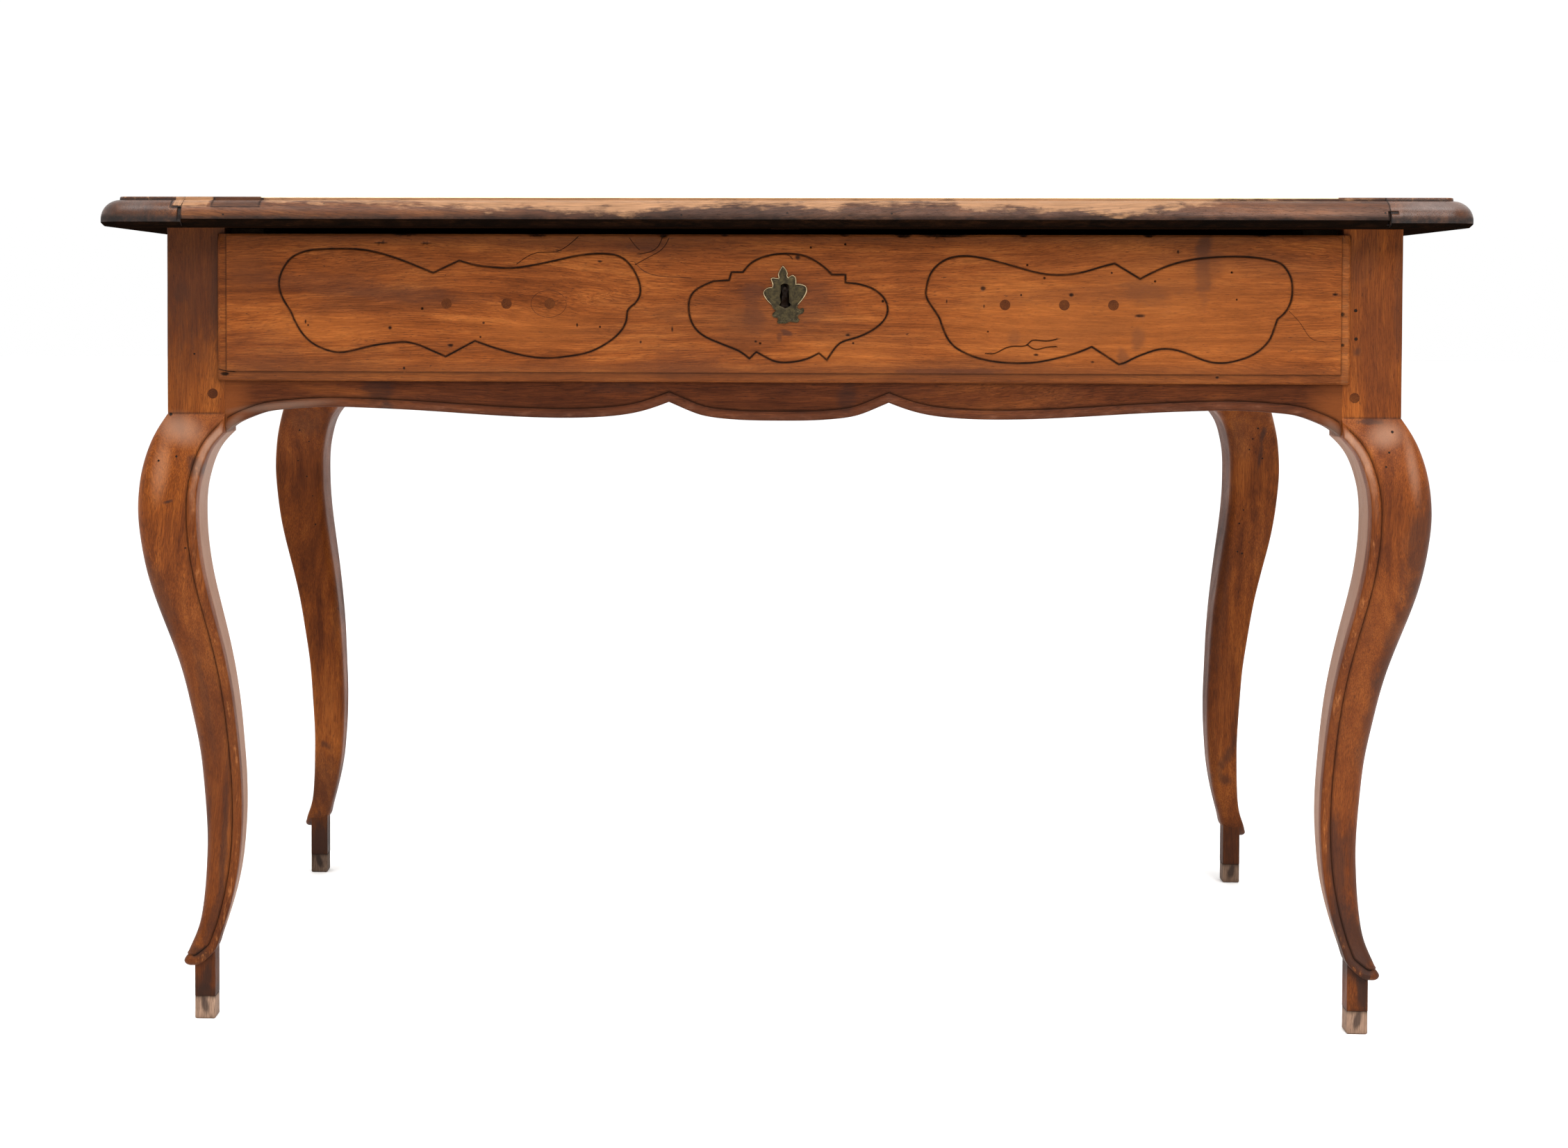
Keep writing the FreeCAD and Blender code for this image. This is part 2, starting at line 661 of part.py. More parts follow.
DOWEL_LOW = "(tip_height - dowel_length / 2)"
FOOT_MIDDLE = "(foot_inset + foot_side / 2)"
FOOT_X = f"(case_width / 2 - {FOOT_MIDDLE})"
FOOT_Y = f"(case_depth / 2 - {FOOT_MIDDLE})"


def dowel(make, name, row, side):
    spot = (signed(FOOT_X, side), signed(FOOT_Y, row), DOWEL_LOW)
    return make(name, "dowel_radius", "dowel_length", "z", *spot)


def foot_tip(name, row, side):
    """the added tip under a foot, its lower edges rounded by wear"""
    body = doc.addObject("PartDesign::Body", f"{name}_tip_body")
    plan = rectangle(body, f"{name}_tip_plan", "XY_Plane", "tip_side", "tip_side",
                     centre=signed(FOOT_X, side), middle=signed(FOOT_Y, row))
    block = pad(body, f"{name}_tip_block", plan, "tip_height")
    dressed(body, "Fillet", f"{name}_tip_wear", block, at_height("0"), "tip_round")
    return less(f"foot_tip_{name}", body, [dowel(drilled, f"{name}_tip_hole", row, side)])


dowels = []
for (row_name, side_name), blank in leg_blanks.items():
    row = -1 if row_name == "front" else 1
    side = -1 if side_name == "left" else 1
    name = f"{row_name}_{side_name}"
    cuts = tenons[row_name] + tenons[side_name] + peg_holes[row_name] + peg_holes[side_name] + top_peg_holes
    cuts.append(dowel(drilled, f"{name}_dowel_hole", row, side))
    node(f"leg_{name}", less(f"leg_{name}", blank, cuts))
    node(f"foot_tip_{name}", foot_tip(name, row, side))
    dowels.append(dowel(rod, f"{name}_dowel", row, side))
node("foot_dowels", group("foot_dowels", dowels))


# Aprons
def mirrored_edge(rows):
    """stretches from the left end to the right end, from a table for the right half"""
    left = [[Vector(-point.x, 0, point.z) for point in reversed(points)] for points in reversed(rows)]
    if abs(rows[0][0].x) < 1e-9:
        middle_points = left.pop() + rows[0][1:]
        return left + [middle_points] + rows[1:]
    return left + rows


def apron_blank(tables, half_span, top):
    """an upright board with a shaped lower edge and a bead along it, its outer face on the plane y = 0"""
    span, seat, drop, high = value(half_span), value(SEAT), value("apron_drop"), value(top)
    rows = [[Vector(along * span, 0, seat - down * drop) for along, down in table] for table in tables]
    edge = mirrored_edge(rows)
    right, left = Vector(span, 0, high), Vector(-span, 0, high)
    outline = Part.Face(closed_wire(edge + [[edge[-1][-1], right], [right, left]]))
    solid = outline.extrude(Vector(0, value("apron_thickness"), 0))
    bead = value("bead_width")
    groove = band(edge, bead, bead + value("groove_width"))
    groove.translate(Vector(0, -value("overrun"), 0))
    return solid.cut(groove.extrude(Vector(0, value("overrun") + value("groove_depth"), 0)))


def apron(name, blank, turn, x, y):
    """places a blank, adds its tenons and drills it for the pegs"""
    blank.Placement = Placement(Vector(), Rotation(Vector(0, 0, 1), turn))
    blank.setExpression("Placement.Base.x", bound(x))
    blank.setExpression("Placement.Base.y", bound(y))
    whole = joined(f"{name}_apron_with_tenons", [blank] + tenons[name])
    holes = peg_holes[name] + (top_peg_holes if name == "back" else [])
    return node(f"{name}_apron", less(f"{name}_apron", whole, holes))


LONG_SHARES = [MIDDLE_LOBE_SHARES, OUTER_LOBE_SHARES]
front_blank = made("front_apron_blank", apron_blank(LONG_SHARES, OPENING, SEAT))
back_blank = made("back_apron_blank", apron_blank(LONG_SHARES, OPENING, UNDERSIDE))
left_blank = made("left_apron_blank", apron_blank([SIDE_EDGE_SHARES], SIDE_SPAN, UNDERSIDE))
right_blank = made("right_apron_blank", apron_blank([SIDE_EDGE_SHARES], SIDE_SPAN, UNDERSIDE))
apron("front", front_blank, 0, "0", CASE_FRONT)
apron("back", back_blank, 180, "0", "case_depth / 2")
apron("left", left_blank, -90, "-case_width / 2", "0")
apron("right", right_blank, 90, "case_width / 2", "0")

# Runners, guides and kickers
INNER_Y = "(case_depth / 2 - apron_thickness)"
INNER_X = "(case_width / 2 - apron_thickness)"
SIDE_TOP = f"({DRAWER_TOP} - side_step)"
for name, sign in (("left", -1), ("right", 1)):
    inner = flipped((f"{OPENING} - runner_width", OPENING), sign)
    outer = flipped((OPENING, INNER_X), sign)
    holes = []
    nails = []
    for index, place in enumerate((-1, 0, 1)):
        nail = ("nail_radius", "runner_width", "x", inner[0], f"{place} * guide_nail_spacing",
                f"{SEAT} - runner_height / 2")
        holes.append(drilled(f"{name}_guide_nail_hole_{index}", *nail))
        nails.append(rod(f"{name}_guide_nail_{index}", *nail))
    runner_z = (f"{SEAT} - runner_height", SEAT)
    runner = board(f"{name}_runner_board", inner, (f"-{INNER_Y}", INNER_Y), runner_z)
    node(f"drawer_runner_{name}", less(f"drawer_runner_{name}", runner, holes))
    node(f"runner_nails_{name}", group(f"runner_nails_{name}", nails))
    node(f"drawer_guide_{name}", board(f"drawer_guide_{name}", outer, (f"-{SIDE_SPAN}", SIDE_SPAN),
                                       (f"{SEAT} - runner_height", f"{SEAT} + guide_rise")))
    node(f"drawer_kicker_{name}", board(f"drawer_kicker_{name}", inner, (f"-{INNER_Y}", INNER_Y),
                                        (f"{SIDE_TOP} + running_gap", UNDERSIDE)))


# Drawer box
BOTTOM_LOW = f"({DRAWER_LOW} + bottom_raise)"
BOTTOM_HIGH = f"({BOTTOM_LOW} + bottom_thickness)"
BOTTOM_Z = (BOTTOM_LOW, BOTTOM_HIGH)
SIDE_INNER = f"({DRAWER_SIDE} - side_thickness)"
TAIL_ROOM = f"({SIDE_TOP} - {BOTTOM_HIGH})"
TAIL_PLACE_SHARES = (0.2, 0.5, 0.8)


def tail(name, side, height, root, tip):
    """a dovetail on a drawer side: narrow at the root, wide at the tip"""
    piece = doc.addObject("Part::Wedge", name)
    inner, outer = flipped((SIDE_INNER, DRAWER_SIDE), side)
    narrow, wide = "(tail_width / 2 - tail_flare)", "(tail_width / 2)"
    forward = tip.startswith(f"{FRONT_BACK} -")
    at_low, at_high = (wide, narrow) if forward else (narrow, wide)
    low, high = (tip, root) if forward else (root, tip)
    bounds = {"Xmin": inner, "X2min": inner, "Xmax": outer, "X2max": outer, "Ymin": low, "Ymax": high,
              "Zmin": f"{height} - {at_low}", "Zmax": f"{height} + {at_low}",
              "Z2min": f"{height} - {at_high}", "Z2max": f"{height} + {at_high}"}
    for key, text in bounds.items():
        piece.setExpression(key, bound(text))
    return piece


front_tails = []
back_tails = []
for name, sign in (("left", -1), ("right", 1)):
    heights = [f"({BOTTOM_HIGH} + {TAIL_ROOM} * {share})" for share in TAIL_PLACE_SHARES]
    fronts = [tail(f"{name}_front_tail_{index}", sign, height, FRONT_BACK, f"{FRONT_BACK} - tail_depth")
              for index, height in enumerate(heights)]
    backs = [tail(f"{name}_back_tail_{index}", sign, height, f"{DRAWER_END} - back_thickness", DRAWER_END)
             for index, height in enumerate(heights)]
    front_tails += fronts
    back_tails += backs
    plank = board(f"{name}_drawer_plank", flipped((SIDE_INNER, DRAWER_SIDE), sign),
                  (FRONT_BACK, f"{DRAWER_END} - back_thickness"), (DRAWER_LOW, SIDE_TOP))
    heel = board(f"{name}_drawer_heel", flipped((SIDE_INNER, DRAWER_SIDE), sign),
                 (f"{DRAWER_END} - back_thickness", DRAWER_END), (DRAWER_LOW, BOTTOM_HIGH))
    groove_x = flipped((f"{SIDE_INNER} - overrun", f"{SIDE_INNER} + bottom_tongue"), sign)
    groove_y = (f"{FRONT_BACK} - overrun", f"{DRAWER_END} + overrun")
    groove = board(f"{name}_drawer_groove", groove_x, groove_y, BOTTOM_Z)
    whole = joined(f"{name}_drawer_side_blank", [plank, heel] + fronts + backs)
    node(f"drawer_side_{name}", less(f"drawer_side_{name}", whole, [groove]))

# The back stands on the bottom boards and is a little lower than the sides
back_plank = board("drawer_back_plank", (f"-{DRAWER_SIDE}", DRAWER_SIDE),
                   (f"{DRAWER_END} - back_thickness", DRAWER_END), (BOTTOM_HIGH, f"{SIDE_TOP} - back_step"))
BOTTOM_X = f"({SIDE_INNER} + bottom_tongue)"
BOTTOM_SPLIT = f"({BOTTOM_X} / 3)"
bottom_spans = {"left": (f"-{BOTTOM_X}", f"-{BOTTOM_SPLIT}"), "middle": (f"-{BOTTOM_SPLIT}", BOTTOM_SPLIT),
                "right": (BOTTOM_SPLIT, BOTTOM_X)}
nail_spots = [f"{place} * {BOTTOM_SPLIT} / 2" for place in (-5, -3, -1, 1, 3, 5)]


def bottom_nails(make, name):
    """nails from under the bottom boards up into the drawer back"""
    y = f"{DRAWER_END} - back_thickness / 2"
    return [make(f"{name}_{index}", "nail_radius", "nail_length", "z", x, y, BOTTOM_LOW)
            for index, x in enumerate(nail_spots)]


bottom_nail_holes = bottom_nails(drilled, "bottom_nail_hole")
node("drawer_bottom_nails", group("drawer_bottom_nails", bottom_nails(rod, "bottom_nail")))
node("drawer_back", less("drawer_back", back_plank, back_tails + bottom_nail_holes))
for name, span in bottom_spans.items():
    panel = board(f"{name}_bottom_panel", span, (f"{FRONT_BACK} - bottom_tongue", DRAWER_END), BOTTOM_Z)
    node(f"drawer_bottom_{name}", less(f"drawer_bottom_{name}", panel, bottom_nail_holes))

# Drawer front: a block between the posts, a lip in front of them and a field a step higher than the lip
front_body = doc.addObject("PartDesign::Body", "drawer_front_body")
LIP_LOW = f"({DRAWER_LOW} - lower_lip)"
LIP_BACK = f"({CASE_FRONT} - running_gap)"
FIELD_LOW = f"({LIP_LOW} + lip_border)"


def front_plan(name, half_width, low, plane):
    """a rectangle on an upright plane, from a height up to the drawer's top"""
    return rectangle(front_body, name, "XZ_Plane", f"2 * {half_width}", f"{DRAWER_TOP} - {low}",
                     lift=f"-({plane})", middle=f"({DRAWER_TOP} + {low}) / 2")


LIP_X = f"({OPENING} + lip_overlap)"
lip_plan = front_plan("lip_plan", LIP_X, LIP_LOW, LIP_BACK)
lip = pad(front_body, "lip", lip_plan, "front_proud - running_gap - lip_step")


def lip_edge(edge):
    """the lip's front edges at both ends and along the bottom"""
    box = edge.BoundBox
    in_front = abs(box.YMin - value(f"{DRAWER_FACE} + lip_step")) < TOUCH and box.YLength < TOUCH
    return in_front and box.ZMin < value(DRAWER_TOP) - TOUCH


dressed(front_body, "Fillet", "lip_round", lip, lip_edge, "lip_round")
field_plan = front_plan("field_plan", f"({LIP_X} - lip_border)", FIELD_LOW, LIP_BACK)
pad(front_body, "field", field_plan, "front_proud - running_gap")
block_plan = front_plan("block_plan", DRAWER_SIDE, DRAWER_LOW, LIP_BACK)
pad(front_body, "block", block_plan, "front_thickness - front_proud + running_gap", reverse=True)
slot_plan = rectangle(front_body, "bottom_slot_plan", "XZ_Plane", f"2 * {BOTTOM_X}", "bottom_thickness",
                      lift=f"-{FRONT_BACK}", middle=f"({BOTTOM_LOW} + {BOTTOM_HIGH}) / 2")
pocket(front_body, "bottom_slot", slot_plan, "bottom_tongue", reverse=True)


def cartouche(name, tables, kind, place, flip=1):
    """the incised outline of a cartouche on the drawer's face, mirrored where flip is -1"""
    half = Vector(value(f"{kind}_width / 2"), 0, value(f"{kind}_height / 2"))
    centre = Vector(value(place), 0, value(f"{PANEL_MIDDLE} - {kind}_drop"))
    stretches = []
    last = tables[-1][-1]
    for table in tables:
        points = [Vector(flip * along * half.x, 0, up * half.z) for along, up in [last] + table]
        stretches.append([point + centre for point in points])
        last = table[-1]
    tool = incised(stretches, value("incised_width"), value("incised_depth"), value(DRAWER_FACE))
    return made(name, tool)


def both_halves(tables):
    """a full outline from its right half, whose first and last points lie on the middle line"""
    points = tables[0][1:]
    right = [points] + tables[1:]
    corners = [tables[0][0]] + [table[-1] for table in right]
    left = []
    for start, table in zip(reversed(corners[:-1]), reversed(right)):
        left.append([(-along, up) for along, up in list(reversed(table))[1:]] + [(-start[0], start[1])])
    bottom = right[-1] + left[0]
    top = left[-1] + right[0]
    return [top] + right[1:-1] + [bottom] + left[1:-1]


lines = [
    cartouche("left_cartouche", SIDE_CARTOUCHE_SHARES, "side_cartouche",
              "side_cartouche_shift - side_cartouche_place"),
    cartouche("right_cartouche", SIDE_CARTOUCHE_SHARES, "side_cartouche",
              "side_cartouche_shift + side_cartouche_place", flip=-1),
    cartouche("middle_cartouche", both_halves(MIDDLE_CARTOUCHE_SHARES), "middle_cartouche",
              "middle_cartouche_shift"),
]


def keyhole(name, low, high):
    """a round hole over a slot that widens downwards, between two places along Y"""
    radius, narrow, slot = value("keyhole_radius"), value("keyhole_narrow"), value("keyhole_slot")
    centre = Vector(value("lock_shift"), value(low), value(KEYHOLE))
    length = value(high) - value(low)
    head = Part.makeCylinder(radius, length, centre, Vector(0, 1, 0))
    shape = [(-narrow, 0), (narrow, 0), (radius, -slot), (-radius, -slot), (-narrow, 0)]
    foot = Part.Face(Part.makePolygon([Vector(x, 0, z) + centre for x, z in shape]))
    return made(name, head.fuse(foot.extrude(Vector(0, length, 0))))


# Lock: places
PLATE_X = ("lock_shift - lock_plate_width / 2", "lock_shift + lock_plate_width / 2")
PLATE_Y = (f"{FRONT_BACK} - lock_plate_thickness", FRONT_BACK)
PLATE_Z = (f"{DRAWER_TOP} - lock_plate_height", DRAWER_TOP)
SELVEDGE_Y = (f"{FRONT_BACK} - selvedge_depth", FRONT_BACK)
SELVEDGE_Z = (f"{DRAWER_TOP} - lock_plate_thickness", DRAWER_TOP)
CASE_X = ("lock_shift - lock_case_width / 2", "lock_shift + lock_case_width / 2")
CASE_Y = (f"{PLATE_Y[0]} - lock_case_depth", PLATE_Y[0])
CASE_Z = (f"{SELVEDGE_Z[0]} - lock_case_height", SELVEDGE_Z[0])


def inset(span, wall):
    return (f"{span[0]} + {wall}", f"{span[1]} - {wall}")


def plate_nails(make, name, length, radius="nail_radius", start=None):
    """nails at the four corners of the lock's plate"""
    spots = [(signed("(lock_plate_width / 2 - 2 * nail_head_radius)", side), height)
             for side in (-1, 1) for height in (f"{PLATE_Z[0]} + 2 * nail_head_radius",
                                                f"{PLATE_Z[1]} - 4 * nail_head_radius")]
    return [make(f"{name}_{index}", radius, length, "y", f"lock_shift + {x}",
                 start or f"{FRONT_BACK} - {length}", z) for index, (x, z) in enumerate(spots)]


PIN_SPOTS = [("escutcheon_drop + 0.13 * escutcheon_height", "upper"),
             ("escutcheon_drop + 0.92 * escutcheon_height", "lower")]


def escutcheon_pins(make, name):
    """the pins that hold the escutcheon"""
    start = f"{DRAWER_FACE} - escutcheon_thickness"
    return [make(f"{name}_{tag}", "pin_radius", "pin_length", "y", "lock_shift", start,
                 f"{DRAWER_TOP} - ({drop})") for drop, tag in PIN_SPOTS]


# Plugs in the holes of two former handles and of a knob inside each: shares of the drawer's half width
PLUG_PLACE_SHARES = (-0.597, -0.489, -0.411, 0.402, 0.507, 0.594)


def plugs(make, name):
    return [make(f"{name}_{index}", "plug_radius", "plug_length", "y", f"{DRAWER_SIDE} * ({share})",
                 DRAWER_FACE, PANEL_MIDDLE) for index, share in enumerate(PLUG_PLACE_SHARES)]


lock_recess = [board("lock_plate_recess", PLATE_X, (PLATE_Y[0], f"{FRONT_BACK} + overrun"), PLATE_Z),
               board("selvedge_recess", PLATE_X, (SELVEDGE_Y[0], f"{FRONT_BACK} + overrun"),
                     (SELVEDGE_Z[0], f"{DRAWER_TOP} + overrun")),
               board("lock_case_recess", CASE_X, (CASE_Y[0], f"{FRONT_BACK} + overrun"),
                     (CASE_Z[0], f"{DRAWER_TOP} + overrun"))]
front_tools = (lines + lock_recess + front_tails + plugs(drilled, "plug_hole")
               + [keyhole("front_keyhole", f"{DRAWER_FACE} - overrun", f"{FRONT_BACK} + overrun")]
               + plate_nails(drilled, "plate_nail_hole", "nail_length")
               + escutcheon_pins(drilled, "escutcheon_pin_hole"))
node("drawer_front", less("drawer_front", front_body, front_tools))
node("drawer_front_plugs", group("drawer_front_plugs", plugs(rod, "plug")))

# Lock plate with the selvedge that shows on top of the drawer front
bolt_slot = board("bolt_slot", wider(BOLT_X, "running_gap"), wider(BOLT_Y, "running_gap"),
                  (f"{SELVEDGE_Z[0]} - lock_wall - overrun", f"{DRAWER_TOP} + overrun"))
plate = joined("lock_plate_blank", [board("lock_back_plate", PLATE_X, PLATE_Y, PLATE_Z),
                                    board("selvedge", PLATE_X, SELVEDGE_Y, SELVEDGE_Z)])
drill_pin = rod("drill_pin", "drill_pin_radius", "lock_case_depth - lock_wall", "y", "lock_shift",
                f"{CASE_Y[0]} + lock_wall", KEYHOLE)
plate_holes = plate_nails(drilled, "plate_hole", "nail_length")
node("lock_plate", less("lock_plate", plate, [bolt_slot] + plate_holes))
node("lock_drill_pin", drill_pin)
node("lock_nails", group("lock_nails", [
    joined(f"lock_nail_{index}", [shank, head]) for index, (shank, head) in enumerate(zip(
        plate_nails(rod, "lock_nail_shank", "nail_length"),
        plate_nails(rod, "lock_nail_head", "nail_head_height", "nail_head_radius", FRONT_BACK)))]))

# Lock case: a shallow box, open towards the plate
shell = board("lock_case_block", CASE_X, CASE_Y, CASE_Z)
hollow = board("lock_case_hollow", inset(CASE_X, "lock_wall"),
               (f"{CASE_Y[0]} + lock_wall", f"{CASE_Y[1]} + overrun"), inset(CASE_Z, "lock_wall"))
case_keyhole = keyhole("case_keyhole", f"{CASE_Y[0]} - overrun", f"{CASE_Y[0]} + lock_wall + overrun")
node("lock_case", less("lock_case", shell, [hollow, bolt_slot, case_keyhole]))

# Bolt: flush with the selvedge when it is withdrawn, with a notch for the key
BOLT_TOP = f"({DRAWER_TOP} - running_gap)"
BOLT_LOW = f"({BOLT_TOP} - bolt_height)"
bolt_bar = board("bolt_bar", BOLT_X, BOLT_Y, (BOLT_LOW, BOLT_TOP))
notch = board("bolt_notch_tool", ("lock_shift - bolt_notch / 2", "lock_shift + bolt_notch / 2"),
              wider(BOLT_Y, "overrun"), (f"{BOLT_LOW} - overrun", f"{BOLT_LOW} + bolt_notch"))
node("lock_bolt", less("lock_bolt", bolt_bar, [notch]))


def escutcheon():
    """the brass plate around the keyhole"""
    half = Vector(value("escutcheon_width / 2"), 0, value("escutcheon_height / 2"))
    height = value(f"{DRAWER_TOP} - escutcheon_drop - escutcheon_height / 2")
    centre = Vector(value("lock_shift"), 0, height)
    rows = []
    last = None
    for table in ESCUTCHEON_SHARES:
        points = ([last] if last else []) + table
        last = table[-1]
        rows.append([Vector(along * half.x, 0, up * half.z) for along, up in points])
    left = [[Vector(-point.x, 0, point.z) for point in reversed(points)] for points in reversed(rows)]
    outline = wire([[point + centre for point in points] for points in rows + left],
                   value(f"{DRAWER_FACE} - escutcheon_thickness"))
    return Part.Face(outline).extrude(Vector(0, value("escutcheon_thickness"), 0))


plate_keyhole = keyhole("escutcheon_keyhole", f"{DRAWER_FACE} - escutcheon_thickness - overrun",
                        f"{DRAWER_FACE} + overrun")
node("escutcheon", less("escutcheon", made("escutcheon_blank", escutcheon()),
                        [plate_keyhole] + escutcheon_pins(drilled, "plate_pin_hole")))
pin_heads = [rod(f"escutcheon_pin_head_{tag}", "pin_head_radius", "pin_radius", "y", "lock_shift",
                 f"{DRAWER_FACE} - escutcheon_thickness - pin_radius", f"{DRAWER_TOP} - ({drop})")
             for drop, tag in PIN_SPOTS]
node("escutcheon_pins", group("escutcheon_pins", [
    joined(f"escutcheon_pin_{index}", list(pair))
    for index, pair in enumerate(zip(escutcheon_pins(rod, "escutcheon_pin_shank"), pin_heads))]))

doc.recompute()

# Every object has to be in order before anything is written
faults = [item.Name for item in doc.Objects if {"Invalid", "Error"} & set(item.State)]
for name, piece in NODES.items():
    if piece.Shape.isNull() or not piece.Shape.isValid() or not piece.Shape.Solids:
        faults.append(name)
if faults:
    raise RuntimeError(f"faulty: {faults}")

os.makedirs("parts", exist_ok=True)
for name, piece in NODES.items():
    piece.Shape.exportStep(f"parts/{name}.step")
    print(name, len(piece.Shape.Solids), round(piece.Shape.Volume / 1000, 2))
print(len(NODES), "nodes")
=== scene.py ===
# %% [markdown]
# # A writing desk on cabriole legs
# The measured model of the desk comes first: it fixes where each piece is and how the drawer and the lock's
# bolt move. The pieces that people see get finer meshes here, with hand-cut beads, worn edges and small
# faults, and every piece gets the wood, iron or brass that it is made of.

# %% Load the measured model
import json
import math

import bmesh
import bpy
import numpy as np
from mathutils import Matrix, Vector, geometry


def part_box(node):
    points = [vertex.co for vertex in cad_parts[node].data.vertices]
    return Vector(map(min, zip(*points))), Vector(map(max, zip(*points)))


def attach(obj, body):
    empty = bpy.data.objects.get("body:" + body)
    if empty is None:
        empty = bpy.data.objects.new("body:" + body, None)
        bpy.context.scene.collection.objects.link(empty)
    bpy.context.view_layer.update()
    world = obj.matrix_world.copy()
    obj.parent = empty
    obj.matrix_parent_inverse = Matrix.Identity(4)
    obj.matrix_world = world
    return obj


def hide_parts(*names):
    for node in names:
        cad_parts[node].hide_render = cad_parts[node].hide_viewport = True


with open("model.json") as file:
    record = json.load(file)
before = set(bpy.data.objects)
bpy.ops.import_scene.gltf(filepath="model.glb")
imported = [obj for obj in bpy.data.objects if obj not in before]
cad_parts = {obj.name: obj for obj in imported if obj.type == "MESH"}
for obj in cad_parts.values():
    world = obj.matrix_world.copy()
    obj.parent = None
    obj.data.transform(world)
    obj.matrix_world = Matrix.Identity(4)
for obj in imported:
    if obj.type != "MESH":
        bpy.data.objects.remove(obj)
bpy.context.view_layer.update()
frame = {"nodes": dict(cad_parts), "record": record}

MM = 0.001
print("measured model:", len(frame["nodes"]), "pieces")

# %% [markdown]
# ## Smooth lines through a few measured points
# A cabinet maker draws a curved edge through a few marks with a bent lath. A natural cubic spline does the
# same with numbers: it passes through every mark and bends as little as it can between them.

# %% Bent lath
def lath(knots, values, at):
    """values at the places `at` on the smooth line through (knots, values)"""
    knots = np.asarray(knots, float)
    values = np.asarray(values, float)
    gaps = np.diff(knots)
    count = len(knots)
    system = np.eye(count)
    right = np.zeros_like(values)
    for i in range(1, count - 1):
        system[i, i - 1:i + 2] = gaps[i - 1], 2 * (gaps[i - 1] + gaps[i]), gaps[i]
        right[i] = 6 * ((values[i + 1] - values[i]) / gaps[i] - (values[i] - values[i - 1]) / gaps[i - 1])
    bend = np.linalg.solve(system, right)
    at = np.asarray(at, float)
    left = np.clip(np.searchsorted(knots, at) - 1, 0, count - 2)
    gap = gaps[left]
    a = (knots[left + 1] - at) / gap
    b = 1 - a
    if values.ndim > 1:
        a, b, gap = a[:, None], b[:, None], gap[:, None]
    return (a * values[left] + b * values[left + 1]
            + ((a ** 3 - a) * bend[left] + (b ** 3 - b) * bend[left + 1]) * gap ** 2 / 6)


def walk(points, step):
    """evenly spaced points on the smooth line through a list of points"""
    points = np.asarray(points, float)
    run = np.concatenate([[0], np.cumsum(np.linalg.norm(np.diff(points, axis=0), axis=1))])
    count = max(2, int(math.ceil(run[-1] / step)) + 1)
    return lath(run, points, np.linspace(0, run[-1], count))


def sideways(points):
    """unit normals, to the left of the walking direction"""
    slope = np.gradient(points, axis=0)
    slope /= np.linalg.norm(slope, axis=1)[:, None]
    return np.stack([-slope[:, 1], slope[:, 0]], axis=1)


# %% [markdown]
# ## Lumps that are the same on every run
# Old wood is never flat or straight. Lumps are random heights on a coarse lattice, blended smoothly between
# its points. The seed makes them the same each time, so the desk doesn't change from one render to the next.

# %% Lumps
def lumps(places, size, seed):
    """soft random values from -1 to 1 that change over about `size` millimetres"""
    heights = np.random.default_rng(seed).uniform(-1, 1, (24, 24, 24))
    cells = np.asarray(places, float) / size
    low = np.floor(cells).astype(int)
    part = cells - low
    part = part * part * (3 - 2 * part)
    total = 0
    for corner in np.ndindex(2, 2, 2):
        share = np.prod(np.where(corner, part, 1 - part), axis=-1)
        index = (low + corner) % 24
        total = total + share * heights[index[..., 0], index[..., 1], index[..., 2]]
    return total


def ease(x, low, high):
    """0 below one value, 1 above the other, smooth between them"""
    t = np.clip((np.asarray(x, float) - low) / (high - low), 0, 1)
    return t * t * (3 - 2 * t)


# %% [markdown]
# ## A skin from grids
# Each visible piece is a skin of small four-sided faces. A grid is a table of points: its rows follow the
# piece and its columns go round or across it. Where two grids touch they have the same points, and these are
# welded at the end. Three numbers are kept at each point: the wear, where hands have rubbed the colour off;
# the dirt, where wax and dust have gathered, which also carries painted shade in grooves, creases and
# under the top; and the pale mark, a lighter tone for painted highlights and painted reflections.

# %% Skin
MARKS = ("wear", "dirt", "pale")


class Skin:
    def __init__(self):
        self.points = []
        self.faces = []
        self.marks = {key: [] for key in MARKS}
        self.count = 0

    def add(self, points, faces, **marks):
        points = np.asarray(points, float).reshape(-1, 3)
        self.points.append(points)
        self.faces += [[self.count + i for i in face] for face in faces]
        for key in MARKS:
            values = np.asarray(marks.get(key, 0.0), float).reshape(-1)
            self.marks[key].append(np.broadcast_to(values, (len(points),)).copy())
        self.count += len(points)

    def grid(self, table, round_rows=False, **marks):
        rows, columns = table.shape[:2]
        last = columns if round_rows else columns - 1
        i, j = np.meshgrid(np.arange(rows - 1), np.arange(last), indexing="ij")
        a = i * columns + j
        b = i * columns + (j + 1) % columns
        self.add(table, np.stack([a, b, b + columns, a + columns], -1).reshape(-1, 4).tolist(), **marks)

    def lid(self, ring, **marks):
        self.add(ring, [list(range(len(ring)))], **marks)

    def places(self):
        return np.concatenate(self.points)


